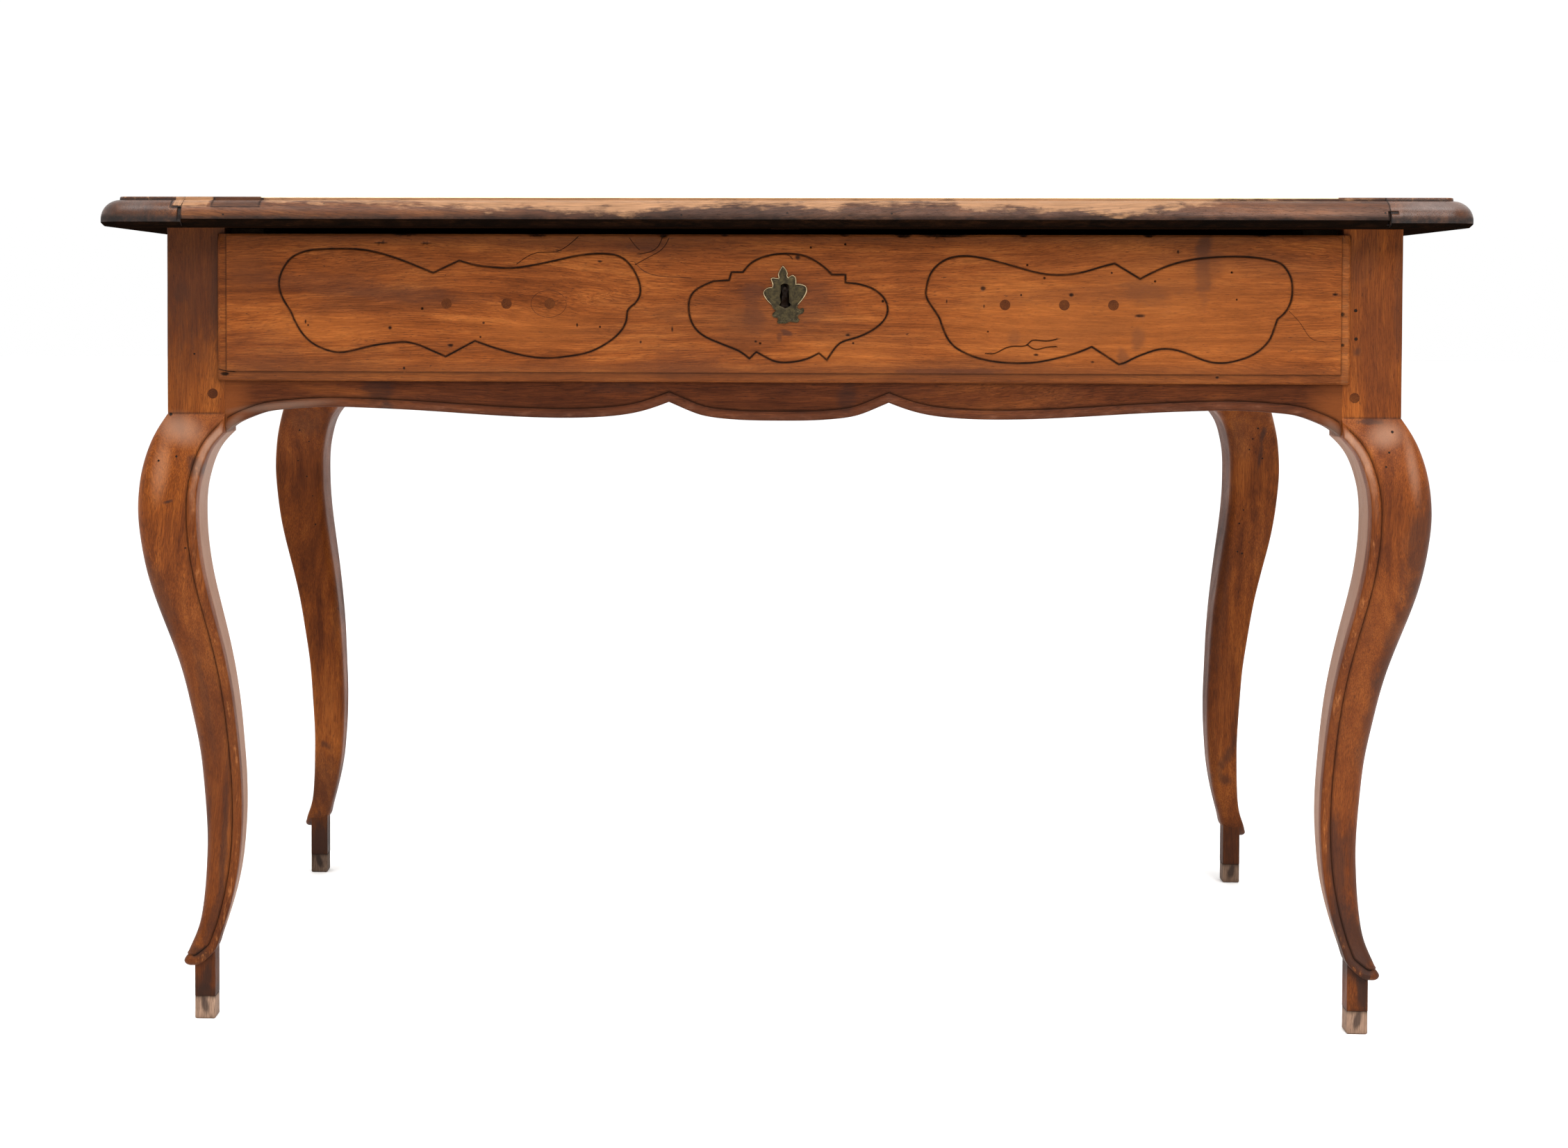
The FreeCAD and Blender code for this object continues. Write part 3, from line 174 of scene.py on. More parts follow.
def build(name, skin, places, body, material, nodes=(), sharp=32, weld=0.02):
    """makes the object from a skin whose points are given in millimetres"""
    mesh = bpy.data.meshes.new(name)
    mesh.from_pydata((places * MM).tolist(), [], skin.faces)
    for key, values in skin.marks.items():
        layer = mesh.attributes.new(key, "FLOAT", "POINT")
        layer.data.foreach_set("value", np.clip(np.concatenate(values), 0, 1).astype(np.float32))
    work = bmesh.new()
    work.from_mesh(mesh)
    bmesh.ops.remove_doubles(work, verts=work.verts, dist=weld * MM)
    bmesh.ops.dissolve_degenerate(work, edges=work.edges, dist=1e-7)
    bmesh.ops.recalc_face_normals(work, faces=work.faces)
    work.to_mesh(mesh)
    work.free()
    mesh.shade_smooth()
    mesh.set_sharp_from_angle(angle=math.radians(sharp))
    thing = bpy.data.objects.new(name, mesh)
    bpy.context.collection.objects.link(thing)
    mesh.materials.append(material)
    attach(thing, body)
    if nodes:
        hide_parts(*nodes)
    print(f"{name}: {len(mesh.vertices)} points")
    return thing


# %% [markdown]
# ## Wood
# Walnut and fruitwood under old wax: long soft streaks along the grain, growth rings that open into flames,
# fine dark pores, blotches where the stain took unevenly, and a few worm holes. All of it is built from noise
# that is stretched along the grain, so it runs through the wood and shows end grain on the ends. The wax
# gives a satin gloss that changes a little from place to place.

# %% Wood
HOLE_RUN = 900  # a worm hole shows wherever its line along Y meets a surface
GRAIN = {"x": (0, 0, 0), "y": (0, 0, math.radians(90)), "z": (0, math.radians(90), 0)}


def link_maths(tree, kind, first, second=None, third=None, clamp=False):
    node = tree.nodes.new("ShaderNodeMath")
    node.operation = kind
    node.use_clamp = clamp
    for socket, value in zip(node.inputs, (first, second, third)):
        if value is None:
            continue
        if isinstance(value, (int, float)):
            socket.default_value = value
        else:
            tree.links.new(value, socket)
    return node.outputs[0]


def link_mix(tree, share, first, second, kind="MIX"):
    node = tree.nodes.new("ShaderNodeMix")
    node.data_type = "RGBA"
    node.blend_type = kind
    for socket, value in zip((node.inputs[0], node.inputs[6], node.inputs[7]), (share, first, second)):
        if isinstance(value, (int, float)):
            socket.default_value = value
        elif isinstance(value, tuple):
            socket.default_value = (*value, 1)
        else:
            tree.links.new(value, socket)
    return node.outputs[2]


def link_range(tree, value, low, high, to_low=0.0, to_high=1.0):
    node = tree.nodes.new("ShaderNodeMapRange")
    node.interpolation_type = "SMOOTHSTEP"
    tree.links.new(value, node.inputs[0])
    for socket, number in zip(node.inputs[1:5], (low, high, to_low, to_high)):
        socket.default_value = number
    return node.outputs[0]


def stretched(tree, places, along, across, detail=3, rough=0.55):
    """noise whose patches are `along` long and `across` wide, in metres"""
    scale = tree.nodes.new("ShaderNodeMapping")
    scale.inputs["Scale"].default_value = (1 / along, 1 / across, 1 / across)
    tree.links.new(places, scale.inputs[0])
    noise = tree.nodes.new("ShaderNodeTexNoise")
    noise.inputs["Scale"].default_value = 1
    noise.inputs["Detail"].default_value = detail
    noise.inputs["Roughness"].default_value = rough
    tree.links.new(scale.outputs[0], noise.inputs[0])
    return noise.outputs[0]


def spot(tree, points, centre, size, soft=0.25, lean=0.0, ragged=None):
    """1 inside an oval at `centre`, 0 outside it, in millimetres; it leans in the front plane"""
    place = tree.nodes.new("ShaderNodeMapping")
    place.vector_type = "TEXTURE"
    place.inputs["Location"].default_value = [c * MM for c in centre]
    place.inputs["Rotation"].default_value = (0, lean, 0)
    place.inputs["Scale"].default_value = [s * MM for s in size]
    tree.links.new(points, place.inputs[0])
    away = tree.nodes.new("ShaderNodeVectorMath")
    away.operation = "LENGTH"
    tree.links.new(place.outputs[0], away.inputs[0])
    reach = away.outputs["Value"]
    if ragged is not None:
        reach = link_maths(tree, "MULTIPLY_ADD", ragged, 1.6, link_maths(tree, "ADD", reach, -0.8))
    return link_range(tree, reach, 1 - soft, 1 + soft, 1.0, 0.0)


def mark(tree, name):
    node = tree.nodes.new("ShaderNodeAttribute")
    node.attribute_name = name
    return node.outputs["Fac"]


def new_material(name):
    material = bpy.data.materials.new(name)
    material.use_nodes = True
    tree = material.node_tree
    shader = tree.nodes["Principled BSDF"]
    return material, tree, shader


# %% [markdown]
# The wood itself. The grain wanders: places are bent a little before any streak is drawn on them. Tone comes
# from a ramp of three colours, driven by wide soft streaks, fine streaks, blotches and faint growth rings.
# Smoke-coloured hazes, fibres, pores and flecks follow, then the marks that the mesh carries: grime with
# painted shade first, rubbed wood over it, and the pale painted highlight last. Worm holes and stains have
# their measured places; some of the stains are painted highlights, painted light and painted shade.

# %% Wood recipe
def wood(name, grain, tones, start=(0, 0, 0), worn=(0.36, 0.13, 0.038), pale=(0.42, 0.22, 0.10),
         grime_and_shade=(0.010, 0.005, 0.003), flame=0.04, blotch=1.0, haze=0.45, flecks=0.7, gloss=0.42,
         shine=0.12, ring=0.012, holes=(), stains=()):
    material, tree, shader = new_material(name)
    coordinates = tree.nodes.new("ShaderNodeTexCoord")
    points = coordinates.outputs["Object"]
    turn = tree.nodes.new("ShaderNodeMapping")
    turn.inputs["Rotation"].default_value = GRAIN[grain]
    turn.inputs["Location"].default_value = start
    tree.links.new(points, turn.inputs[0])
    places = turn.outputs[0]

    # the wandering grain
    sway = stretched(tree, places, 0.55, 0.09, detail=1)
    ripple = stretched(tree, places, 0.10, 0.020, detail=2)
    lift = link_maths(tree, "MULTIPLY_ADD", sway, 0.075, link_maths(tree, "MULTIPLY", ripple, 0.007))
    apart = tree.nodes.new("ShaderNodeSeparateXYZ")
    tree.links.new(places, apart.inputs[0])
    joined = tree.nodes.new("ShaderNodeCombineXYZ")
    across = link_maths(tree, "MULTIPLY_ADD", lift, 0.5, apart.outputs[1])
    upright = link_maths(tree, "ADD", lift, apart.outputs[2])
    for value, socket in zip((apart.outputs[0], across, upright), joined.inputs):
        tree.links.new(value, socket)
    bent = joined.outputs[0]

    # tone
    wide = stretched(tree, bent, 0.22, 0.011, detail=5, rough=0.65)
    fine = stretched(tree, bent, 0.040, 0.0012, detail=4, rough=0.7)
    cloud = stretched(tree, bent, 0.13, 0.045, detail=6, rough=0.65)
    depth = link_maths(tree, "MULTIPLY_ADD", across, 0.5, upright)
    waves = link_maths(tree, "SINE", link_maths(tree, "MULTIPLY", depth, 2 * math.pi / ring))
    by_wide, by_fine, by_cloud = 1.15, 1.0, 2.1 * blotch
    offset = 0.5 - 0.5 * (by_wide + by_fine + by_cloud)
    share = link_maths(tree, "MULTIPLY_ADD", wide, by_wide, offset)
    share = link_maths(tree, "MULTIPLY_ADD", fine, by_fine, share)
    share = link_maths(tree, "MULTIPLY_ADD", cloud, by_cloud, share)
    share = link_maths(tree, "MULTIPLY_ADD", waves, flame, share, clamp=True)
    ramp = tree.nodes.new("ShaderNodeValToRGB")
    ramp.color_ramp.elements[0].color = (*tones["dark"], 1)
    ramp.color_ramp.elements[1].color = (*tones["light"], 1)
    ramp.color_ramp.elements.new(0.5).color = (*tones["middle"], 1)
    tree.links.new(share, ramp.inputs[0])

    # smoke-coloured hazes, fibres, pores and flecks
    smoke = link_range(tree, stretched(tree, places, 0.20, 0.05, detail=4, rough=0.6), 0.48, 0.68, 0.0, haze)
    colour = link_mix(tree, smoke, ramp.outputs[0], tones["smoke"])
    fibre = stretched(tree, bent, 0.022, 0.00055, detail=2)
    colour = link_mix(tree, 1.0, colour, link_range(tree, fibre, 0.34, 0.66, 0.74, 1.20), "MULTIPLY")
    pore = link_range(tree, stretched(tree, bent, 0.0055, 0.0004, detail=1), 0.60, 0.72)
    colour = link_mix(tree, link_maths(tree, "MULTIPLY", pore, 0.5), colour, grime_and_shade)
    fleck = link_range(tree, stretched(tree, places, 0.010, 0.0032, detail=3, rough=0.6), 0.70, 0.76)
    colour = link_mix(tree, link_maths(tree, "MULTIPLY", fleck, flecks), colour, grime_and_shade)

    # stains and worm holes at their own places
    patch = stretched(tree, places, 0.016, 0.006, detail=5, rough=0.65)
    for centre, size, strength, lean, *kind in stains:
        soft, ragged = (0.85, None) if kind else (0.45, patch)
        stain = spot(tree, points, centre, size, soft, lean, ragged)
        tone = tones[kind[0] if kind else "stain"]
        colour = link_mix(tree, link_maths(tree, "MULTIPLY", stain, strength), colour, tone)
    pit = None
    for centre, reach in holes:
        dot = spot(tree, points, centre, (reach, HOLE_RUN, reach), 0.2)
        pit = dot if pit is None else link_maths(tree, "MAXIMUM", pit, dot)
    if pit is not None:
        colour = link_mix(tree, pit, colour, grime_and_shade)

    # grime with painted shade, rubbed wood and painted highlight come from the mesh's marks, broken up by
    # noise
    dirty = link_maths(tree, "MULTIPLY", mark(tree, "dirt"), link_range(tree, patch, 0.25, 0.6, 0.72, 1.0))
    colour = link_mix(tree, dirty, colour, grime_and_shade)
    ragged = link_maths(tree, "MULTIPLY_ADD", patch, 1.5, mark(tree, "wear"))
    rubbed = link_range(tree, link_maths(tree, "MULTIPLY_ADD", fine, 0.6, ragged), 1.27, 1.82)
    rubbed = link_maths(tree, "MULTIPLY", rubbed, link_range(tree, mark(tree, "wear"), 0.02, 0.2))
    colour = link_mix(tree, link_maths(tree, "MULTIPLY", rubbed, 0.85), colour,
                      link_mix(tree, 1.0, worn, link_range(tree, fine, 0.3, 0.7, 0.7, 1.15), "MULTIPLY"))
    pale_highlight = link_range(tree, link_maths(tree, "MULTIPLY_ADD", patch, 0.5, mark(tree, "pale")), 0.4, 1.0)
    colour = link_mix(tree, link_maths(tree, "MULTIPLY", pale_highlight, mark(tree, "pale")), colour, pale)
    tree.links.new(colour, shader.inputs["Base Color"])

    # satin wax, duller in the grime and in the pores
    dull = link_range(tree, cloud, 0.35, 0.65, gloss + 0.10, gloss - 0.05)
    dull = link_maths(tree, "MULTIPLY_ADD", link_range(tree, dirty, 0.5, 0.95), 0.45, dull)
    dull = link_maths(tree, "MULTIPLY_ADD", pore, 0.15, dull)
    tree.links.new(dull, shader.inputs["Roughness"])
    shader.inputs["Specular IOR Level"].default_value = shine

    # relief: pores and holes sunk, fine streaks, soft waves left by the plane
    relief = link_maths(tree, "MULTIPLY_ADD", pore, -0.30, link_maths(tree, "MULTIPLY", fine, 0.30))
    relief = link_maths(tree, "MULTIPLY_ADD", fleck, -0.5, relief)
    relief = link_maths(tree, "MULTIPLY_ADD", cloud, 1.2, relief)
    relief = link_maths(tree, "MULTIPLY_ADD", patch, 0.5, relief)
    if pit is not None:
        relief = link_maths(tree, "MULTIPLY_ADD", pit, -3.0, relief)
    bump = tree.nodes.new("ShaderNodeBump")
    bump.inputs["Strength"].default_value = 0.7
    bump.inputs["Distance"].default_value = 0.0004
    tree.links.new(relief, bump.inputs["Height"])
    tree.links.new(bump.outputs[0], shader.inputs["Normal"])
    return material


def shaded(tones, factor):
    return {key: tuple(c * factor for c in value) for key, value in tones.items()}


# %% [markdown]
# ## The woods of this desk
# The drawer front is the warmest and lightest piece. Posts and legs are redder and darker, the apron darker
# again, partly as painted shade under the drawer's lip, and the edge of the top is nearly black from
# centuries of hands and, under its nose, from painted shade. Bare, unwaxed wood inside stays pale and dull,
# and the foot tips are of a paler wood that was added later.

# %% Woods
# the warm tone of the front and the apron is lighter wood, used partly as painted light
FRONT_TONES = dict(dark=(0.088, 0.020, 0.003), middle=(0.172, 0.044, 0.008), light=(0.280, 0.084, 0.017),
                   smoke=(0.090, 0.028, 0.009), stain=(0.045, 0.016, 0.009), warm=(0.290, 0.085, 0.016))
# the lightest extra tone of the leg, apron and top woods is the colour of painted highlights
LEG_TONES = dict(dark=(0.062, 0.014, 0.003), middle=(0.140, 0.034, 0.005), light=(0.235, 0.066, 0.011),
                 smoke=(0.062, 0.016, 0.005), stain=(0.028, 0.012, 0.008), sheen=(0.300, 0.165, 0.105))
# painted shade: the apron's tones are darkened partly for the shade under the drawer's lip
SHADED_APRON_TONES = dict(dark=(0.036, 0.009, 0.003), middle=(0.066, 0.017, 0.005), light=(0.115, 0.032, 0.008),
                   smoke=(0.040, 0.013, 0.007), stain=(0.018, 0.008, 0.006), sheen=(0.170, 0.120, 0.090),
                   warm=(0.140, 0.038, 0.009))
TOP_TONES = dict(dark=(0.040, 0.014, 0.006), middle=(0.095, 0.032, 0.012), light=(0.180, 0.066, 0.024),
                 smoke=(0.055, 0.024, 0.014), stain=(0.020, 0.010, 0.007), sheen=(0.20, 0.14, 0.12))
INNER_TONES = dict(dark=(0.14, 0.075, 0.035), middle=(0.25, 0.15, 0.075), light=(0.34, 0.22, 0.12),
                   smoke=(0.15, 0.095, 0.055), stain=(0.08, 0.05, 0.03))
TIP_TONES = dict(dark=(0.15, 0.085, 0.052), middle=(0.235, 0.145, 0.098), light=(0.32, 0.205, 0.140),
                 smoke=(0.12, 0.07, 0.05), stain=(0.045, 0.028, 0.022))
FACE = -307.0  # where the drawer front's face lies along Y
STAIN_DEEP, WARM_AND_LIT_DEEP = 30, 40  # how far stains reach into the board, so that lips and edges have them too
FRONT_STAINS = [  # x, z, half width, half height, strength, lean, and a tone where it isn't the dark one
    # round the key plate, under it, and the spread of old grease round both
    (-23.6, 657.6, 10, 8, 0.50, 0.0), (-21.9, 634.7, 9, 11, 0.45, 0.0), (6.4, 622.4, 5, 2.4, 0.80, 0.3),
    (0.2, 618.6, 2.2, 4, 0.50, 0.0), (22, 648, 24, 17, 0.30, 0.0), (6, 652, 48, 30, 0.22, 0.0),
    # a knot above the left cartouche and a dark resin streak in the right one
    (-117, 699, 15, 6.5, 0.55, -0.1), (371, 699, 7, 10, 0.92, 0.15), (368.6, 677, 6, 25, 0.75, -0.05),
    (375, 684, 11, 15, 0.40, 0.0), (206, 619, 5.5, 6, 0.60, 0.0), (313.3, 617.5, 6, 10, 0.72, 0.1),
    (300.3, 602, 4.5, 8, 0.65, -0.2), (318, 658, 18, 10, 0.60, 0.3),
    # lighter wood where hands have polished it, a broad painted pool of light on the right, and the smoky
    # lower lip
    (330, 640, 110, 46, 0.36, 0.0, "warm"), (205, 630, 60, 25, 0.28, 0.0, "warm"),
    (-395, 625, 52, 10, 0.34, 0.0, "warm"), (-215, 625, 45, 15, 0.32, 0.0, "warm"),
    (60, 605, 45, 9, 0.28, 0.0, "warm"), (0, 587, 560, 8, 0.60, 0.0, "smoke"),
    # smoky bands along the board, and the upper edge browned by painted shadow under the top, with some dirt
    (-200, 706, 260, 8, 0.45, 0.0, "smoke"), (250, 706, 160, 6, 0.35, 0.0, "smoke"),
    (-470, 680, 22, 26, 0.45, 0.0, "smoke"), (-30, 625, 26, 20, 0.40, 0.2, "smoke"),
    (-395, 664, 75, 9, 0.30, 0.08), (-325, 655, 60, 7, 0.32, 0.05), (-462, 606, 36, 20, 0.30, 0.0),
    (150, 589, 50, 2.5, 0.50, 0.0), (-150, 700, 90, 7, 0.25, 0.0), (265, 656, 110, 7, 0.22, -0.06),
    (-85, 596, 40, 12, 0.30, 0.0),
]


def on_front(rows):
    """the rows as stains whose middles lie on the drawer front's face"""
    return [((x, FACE, z), (wide, WARM_AND_LIT_DEEP if "warm" in tone else STAIN_DEEP, high), strength, lean, *tone)
            for x, z, wide, high, strength, lean, *tone in rows]


front_wood = wood("front wood", "x", FRONT_TONES, start=(0.13, 0.02, 0.41), flame=0.08, shine=0.07,
                  stains=on_front(FRONT_STAINS))
print("front wood has", len(front_wood.node_tree.nodes), "nodes")

# %% [markdown]
# ## The bead
# A bead runs along the inner edge of every leg and the lower edge of every apron: half round, with a narrow
# groove that sets it off from the flat. A maker cuts it with a scratch stock, a shaped blade that is dragged
# along the edge. Here it is a profile: how far the surface lies below the flat, at each distance from the
# edge.

# %% Bead
BEAD = 8.5
GROOVE = 2.0
GROOVE_DEPTH = 1.5
EDGE_DROP = 3.2


def bead_drop(share):
    """how far the bead's surface lies below the flat, at a share of the way from the edge to the flat"""
    at = np.asarray(share, float) * (BEAD + GROOVE)
    half = BEAD / 2
    outer = EDGE_DROP * (1 - np.sqrt(np.clip(1 - ((half - at) / half) ** 2, 0, 1)))
    inner = GROOVE_DEPTH * (1 - np.sqrt(np.clip(1 - ((at - half) / half) ** 2, 0, 1)))
    groove = GROOVE_DEPTH * (1 - np.clip((at - BEAD) / GROOVE, 0, 1) ** 0.8)
    return np.where(at < half, outer, np.where(at < BEAD, inner, groove))


BEAD_SHARES = np.concatenate([[0, 0.015, 0.04, 0.08], np.linspace(0.13, 0.70, 8),
                              [0.75, 0.785, 0.81, 0.83, 0.87, 0.92, 0.965, 1]])
# the groove is darkened by dirt and by painted shade, and the bead's crest is paler as a painted highlight
BEAD_DIRT_AND_SHADE = np.interp(BEAD_SHARES, [0, 0.6, 0.74, 0.80, 0.87, 1], [0.10, 0.03, 0.30, 0.85, 0.40, 0.08])
BEAD_WEAR = np.interp(BEAD_SHARES, [0, 0.2, 0.45, 0.65, 1], [0.10, 0.22, 0.18, 0.05, 0.0])
BEAD_HIGHLIGHT = np.interp(BEAD_SHARES, [0, 0.15, 0.5, 0.7, 0.78, 1], [0.35, 0.75, 0.70, 0.35, 0, 0])

# %% [markdown]
# ## Cabriole leg
# Post and leg are one piece of wood, sawn to the same pattern on two faces and rounded on the outer corner.
# Each row of the grid goes once round the leg: across the front face, round the outer corner, down the side
# face, over the bead, and back along the two inner faces. The bead follows the inner edge, so its rows lean
# with that edge, and at the foot it turns outwards and becomes the rim of the scroll toe.

# %% Leg pattern
POST = 52.0
KNEE_LINE = 549.0
UNDERSIDE = 714.0
OUTER_EDGE = [(49.8, 10.4), (54, 9.5), (58, 11), (64, 13.5), (72, 16.7), (80, 19.5), (100, 23.2), (120, 25),
              (140, 26), (160, 26.4), (180, 25.8), (200, 24.6), (220, 23.1), (240, 21.2), (280, 14.9),
              (320, 6.9), (360, -4.4), (400, -15.6), (440, -22.1), (460, -23.6), (485, -22.5), (500, -20.3),
              (510, -17.9), (520, -14.8), (526, -12.5), (533, -9.3), (540, -5.5), (549, 0)]
INNER_EDGE = [(16.8, 50.3), (20.5, 50.4), (24.5, 51.6), (28.5, 54.2), (32.5, 57.6), (36, 61), (38.8, 65),
              (41, 72), (43.3, 80), (49, 100), (53.6, 120), (56.8, 140), (58.6, 160), (59.7, 180), (60, 200),
              (59.5, 220), (58.4, 240), (55.5, 280), (50.7, 320), (43.8, 360), (36.2, 400), (31.3, 440),
              (30.6, 460), (31.9, 485), (35, 500), (38, 510), (42.6, 520), (46.8, 526), (53.2, 533),
              (62.5, 540), (74, 545.5)]
CORNER = [(50, 7.3), (64, 8), (80, 8.5), (120, 9.5), (180, 11), (280, 12), (360, 13), (400, 14), (460, 14),
          (500, 12.5), (510, 11), (520, 9.5), (526, 8), (533, 6.5), (540, 4.5), (549, 2), (551, 1.4),
          (714, 1.4)]
BEAD_WIDTH = [(50, 11), (53, 11), (58, 10.5), (65, 9.5), (80, 8.4), (100, 8.8), (120, 9.5), (200, 10.5),
              (560, 10.5)]
INNER_ROUND = 9.0
CORNER_COLUMNS, FLAT_COLUMNS, INNER_FLAT_COLUMNS, INNER_ROUND_COLUMNS = 7, 10, 6, 5
FACE_COLUMNS = CORNER_COLUMNS + FLAT_COLUMNS
INNER_COLUMNS = INNER_FLAT_COLUMNS + INNER_ROUND_COLUMNS


def outer_edge(height):
    table = np.array(OUTER_EDGE)
    return np.where(height < KNEE_LINE, lath(table[:, 0], table[:, 1], np.minimum(height, KNEE_LINE)), 0.0)


def leg_rows():
    """for each row: the flat's border, the piece's inner edge and how much of the bead is left"""
    edge = walk(INNER_EDGE, 2.6)
    side = sideways(edge)
    width = np.interp(edge[:, 1], *np.array(BEAD_WIDTH).T)
    flat = edge + side * width[:, None]
    knee = edge[:, 1] > 400
    cut = np.clip((edge[:, 0] - POST) / np.maximum(edge[:, 0] - flat[:, 0], 1e-6), 0, 1) * knee
    keep = (flat[:, 0] < POST) | ~knee
    edge, flat, cut = edge[keep], flat[keep], cut[keep]
    edge = edge + (flat - edge) * cut[:, None]
    flat[:, 1] = np.maximum.accumulate(flat[:, 1] + np.arange(len(flat)) * 1e-3)
    heights = np.concatenate([np.linspace(flat[-1, 1] + 0.6, KNEE_LINE, 3),
                              KNEE_LINE + np.array([0.25, 0.8, 2, 4]),
                              np.arange(KNEE_LINE + 8, UNDERSIDE - 3, 6), [UNDERSIDE]])
    above = np.stack([np.full(len(heights), POST), heights], 1)
    return (np.concatenate([flat, above]), np.concatenate([edge, above]),
            np.concatenate([cut, np.ones(len(heights))]))


# %% [markdown]
# The rows are turned into points. The front half of each row is worked out once and mirrored across the
# corner's diagonal for the side face, because both faces are sawn to one pattern.

# %% Leg skin
def leg_half(flat, edge, cut):
    """points from the middle of the outer corner, over the front face and the bead, to the inner corner"""
    rows = len(flat)
    height = flat[:, 1]
    outer = outer_edge(height)
    radius = np.interp(height, *np.array(CORNER).T)
    radius = np.minimum(radius, (flat[:, 0] - outer) * 0.999)
    parts = []
    turn = np.linspace(math.pi / 4, math.pi / 2, CORNER_COLUMNS)
    x = outer[:, None] + radius[:, None] * (1 - np.cos(turn))
    y = outer[:, None] + radius[:, None] * (1 - np.sin(turn))
    parts.append((x, y, np.repeat(height[:, None], len(turn), 1)))
    along = np.linspace(0, 1, FLAT_COLUMNS + 2)[1:-1]
    start = (outer + radius)[:, None]
    x = start + (flat[:, :1] - start) * along
    parts.append((x, np.repeat(outer[:, None], len(along), 1), np.repeat(height[:, None], len(along), 1)))
    shares = BEAD_SHARES[::-1]
    real = cut[:, None] + (1 - cut[:, None]) * shares
    x = edge[:, :1] + (flat[:, :1] - edge[:, :1]) * shares
    z = edge[:, 1:] + (flat[:, 1:] - edge[:, 1:]) * shares
    y = outer_edge(z) + bead_drop(real)
    parts.append((x, y, z))
    inner = edge[:, 0]
    first = y[:, -1]
    level = edge[:, 1]
    bend = np.minimum(INNER_ROUND, (inner - first) * 0.45)
    along = np.linspace(0, 1, INNER_FLAT_COLUMNS + 1)[1:]
    y = first[:, None] + (inner - bend - first)[:, None] * along
    parts.append((np.repeat(inner[:, None], len(along), 1), y, np.repeat(level[:, None], len(along), 1)))
    turn = np.linspace(0, math.pi / 4, INNER_ROUND_COLUMNS + 1)[1:]
    x = (inner - bend)[:, None] + bend[:, None] * np.cos(turn)
    y = (inner - bend)[:, None] + bend[:, None] * np.sin(turn)
    parts.append((x, y, np.repeat(level[:, None], len(turn), 1)))
    return np.stack([np.concatenate([part[k] for part in parts], 1) for k in range(3)], -1)


def leg_marks(profile):
    """one mark for every point of the half leg, from its course across the bead"""
    row = np.concatenate([np.zeros(FACE_COLUMNS), profile[::-1], np.zeros(INNER_COLUMNS)])
    return np.repeat(row[None], len(FLAT), 0) * (1 - CUT)[:, None]


FLAT, EDGE, CUT = leg_rows()
HALF = leg_half(FLAT, EDGE, CUT)
# a thin dark line along the knee line
knee_dirt = 0.75 * np.exp(-((HALF[:, :FACE_COLUMNS, 2] - KNEE_LINE - 0.3) / 0.5) ** 2)
toe = np.interp(HALF[..., 2], [49, 58, 75, 110], [0.35, 0.30, 0.12, 0.0])
LEG_DIRT_AND_SHADE = np.clip(leg_marks(BEAD_DIRT_AND_SHADE) * np.interp(HALF[..., 2], [50, 70], [1.2, 1.0]) + toe, 0, 1)
LEG_DIRT_AND_SHADE[:, :FACE_COLUMNS] = np.maximum(LEG_DIRT_AND_SHADE[:, :FACE_COLUMNS], knee_dirt)
WEAR = leg_marks(BEAD_WEAR)
# painted highlight: the bead is paler towards the knee, and the front legs' inner faces are painted pale as a
# reflection of the bright room
LEG_HIGHLIGHT = leg_marks(BEAD_HIGHLIGHT) * np.interp(HALF[..., 2], [60, 200, 450, 520], [0.1, 0.2, 0.3, 0.9])
INNER_FACE = slice(1 - INNER_COLUMNS, None)
LEG_HIGHLIGHT[:, INNER_FACE] = np.interp(HALF[:, INNER_FACE, 2], [66, 90, 530, 540], [0.0, 0.8, 0.8, 0.0])
print("leg rows:", HALF.shape)

# %% [markdown]
# ## Four legs
# The same skin is mirrored to the four corners. Then each leg is made a little different: lumps move it by up
# to 0.14 mm either way, because hand work leaves such waves and they make the gloss wander. All of it lies
# another 0.22 mm deeper than the pattern, just below the heads of the pegs. The square block under the toe
# takes the foot tip. Only the front legs have pale inner faces, a painted reflection of the bright room
# behind them. Each leg's tones are scaled lighter or darker, and the front right one is lightened as painted
# light.

# %% Build the legs
FOOT_INSET = 18.4
FOOT_SIDE = 18.8
TIP_HEIGHT = 20.8
BLOCK_TOP = 66
HALF_X, HALF_Y = 544, 300
LEG_MIDDLE = 30.0
HAIR = 0.22


def round_over(reach, radius):
    """how far a quarter-round edge of this radius has drawn in, at a distance from where it starts"""
    return radius * (1 - np.sqrt(np.clip(1 - (reach / radius) ** 2, 0, 1)))


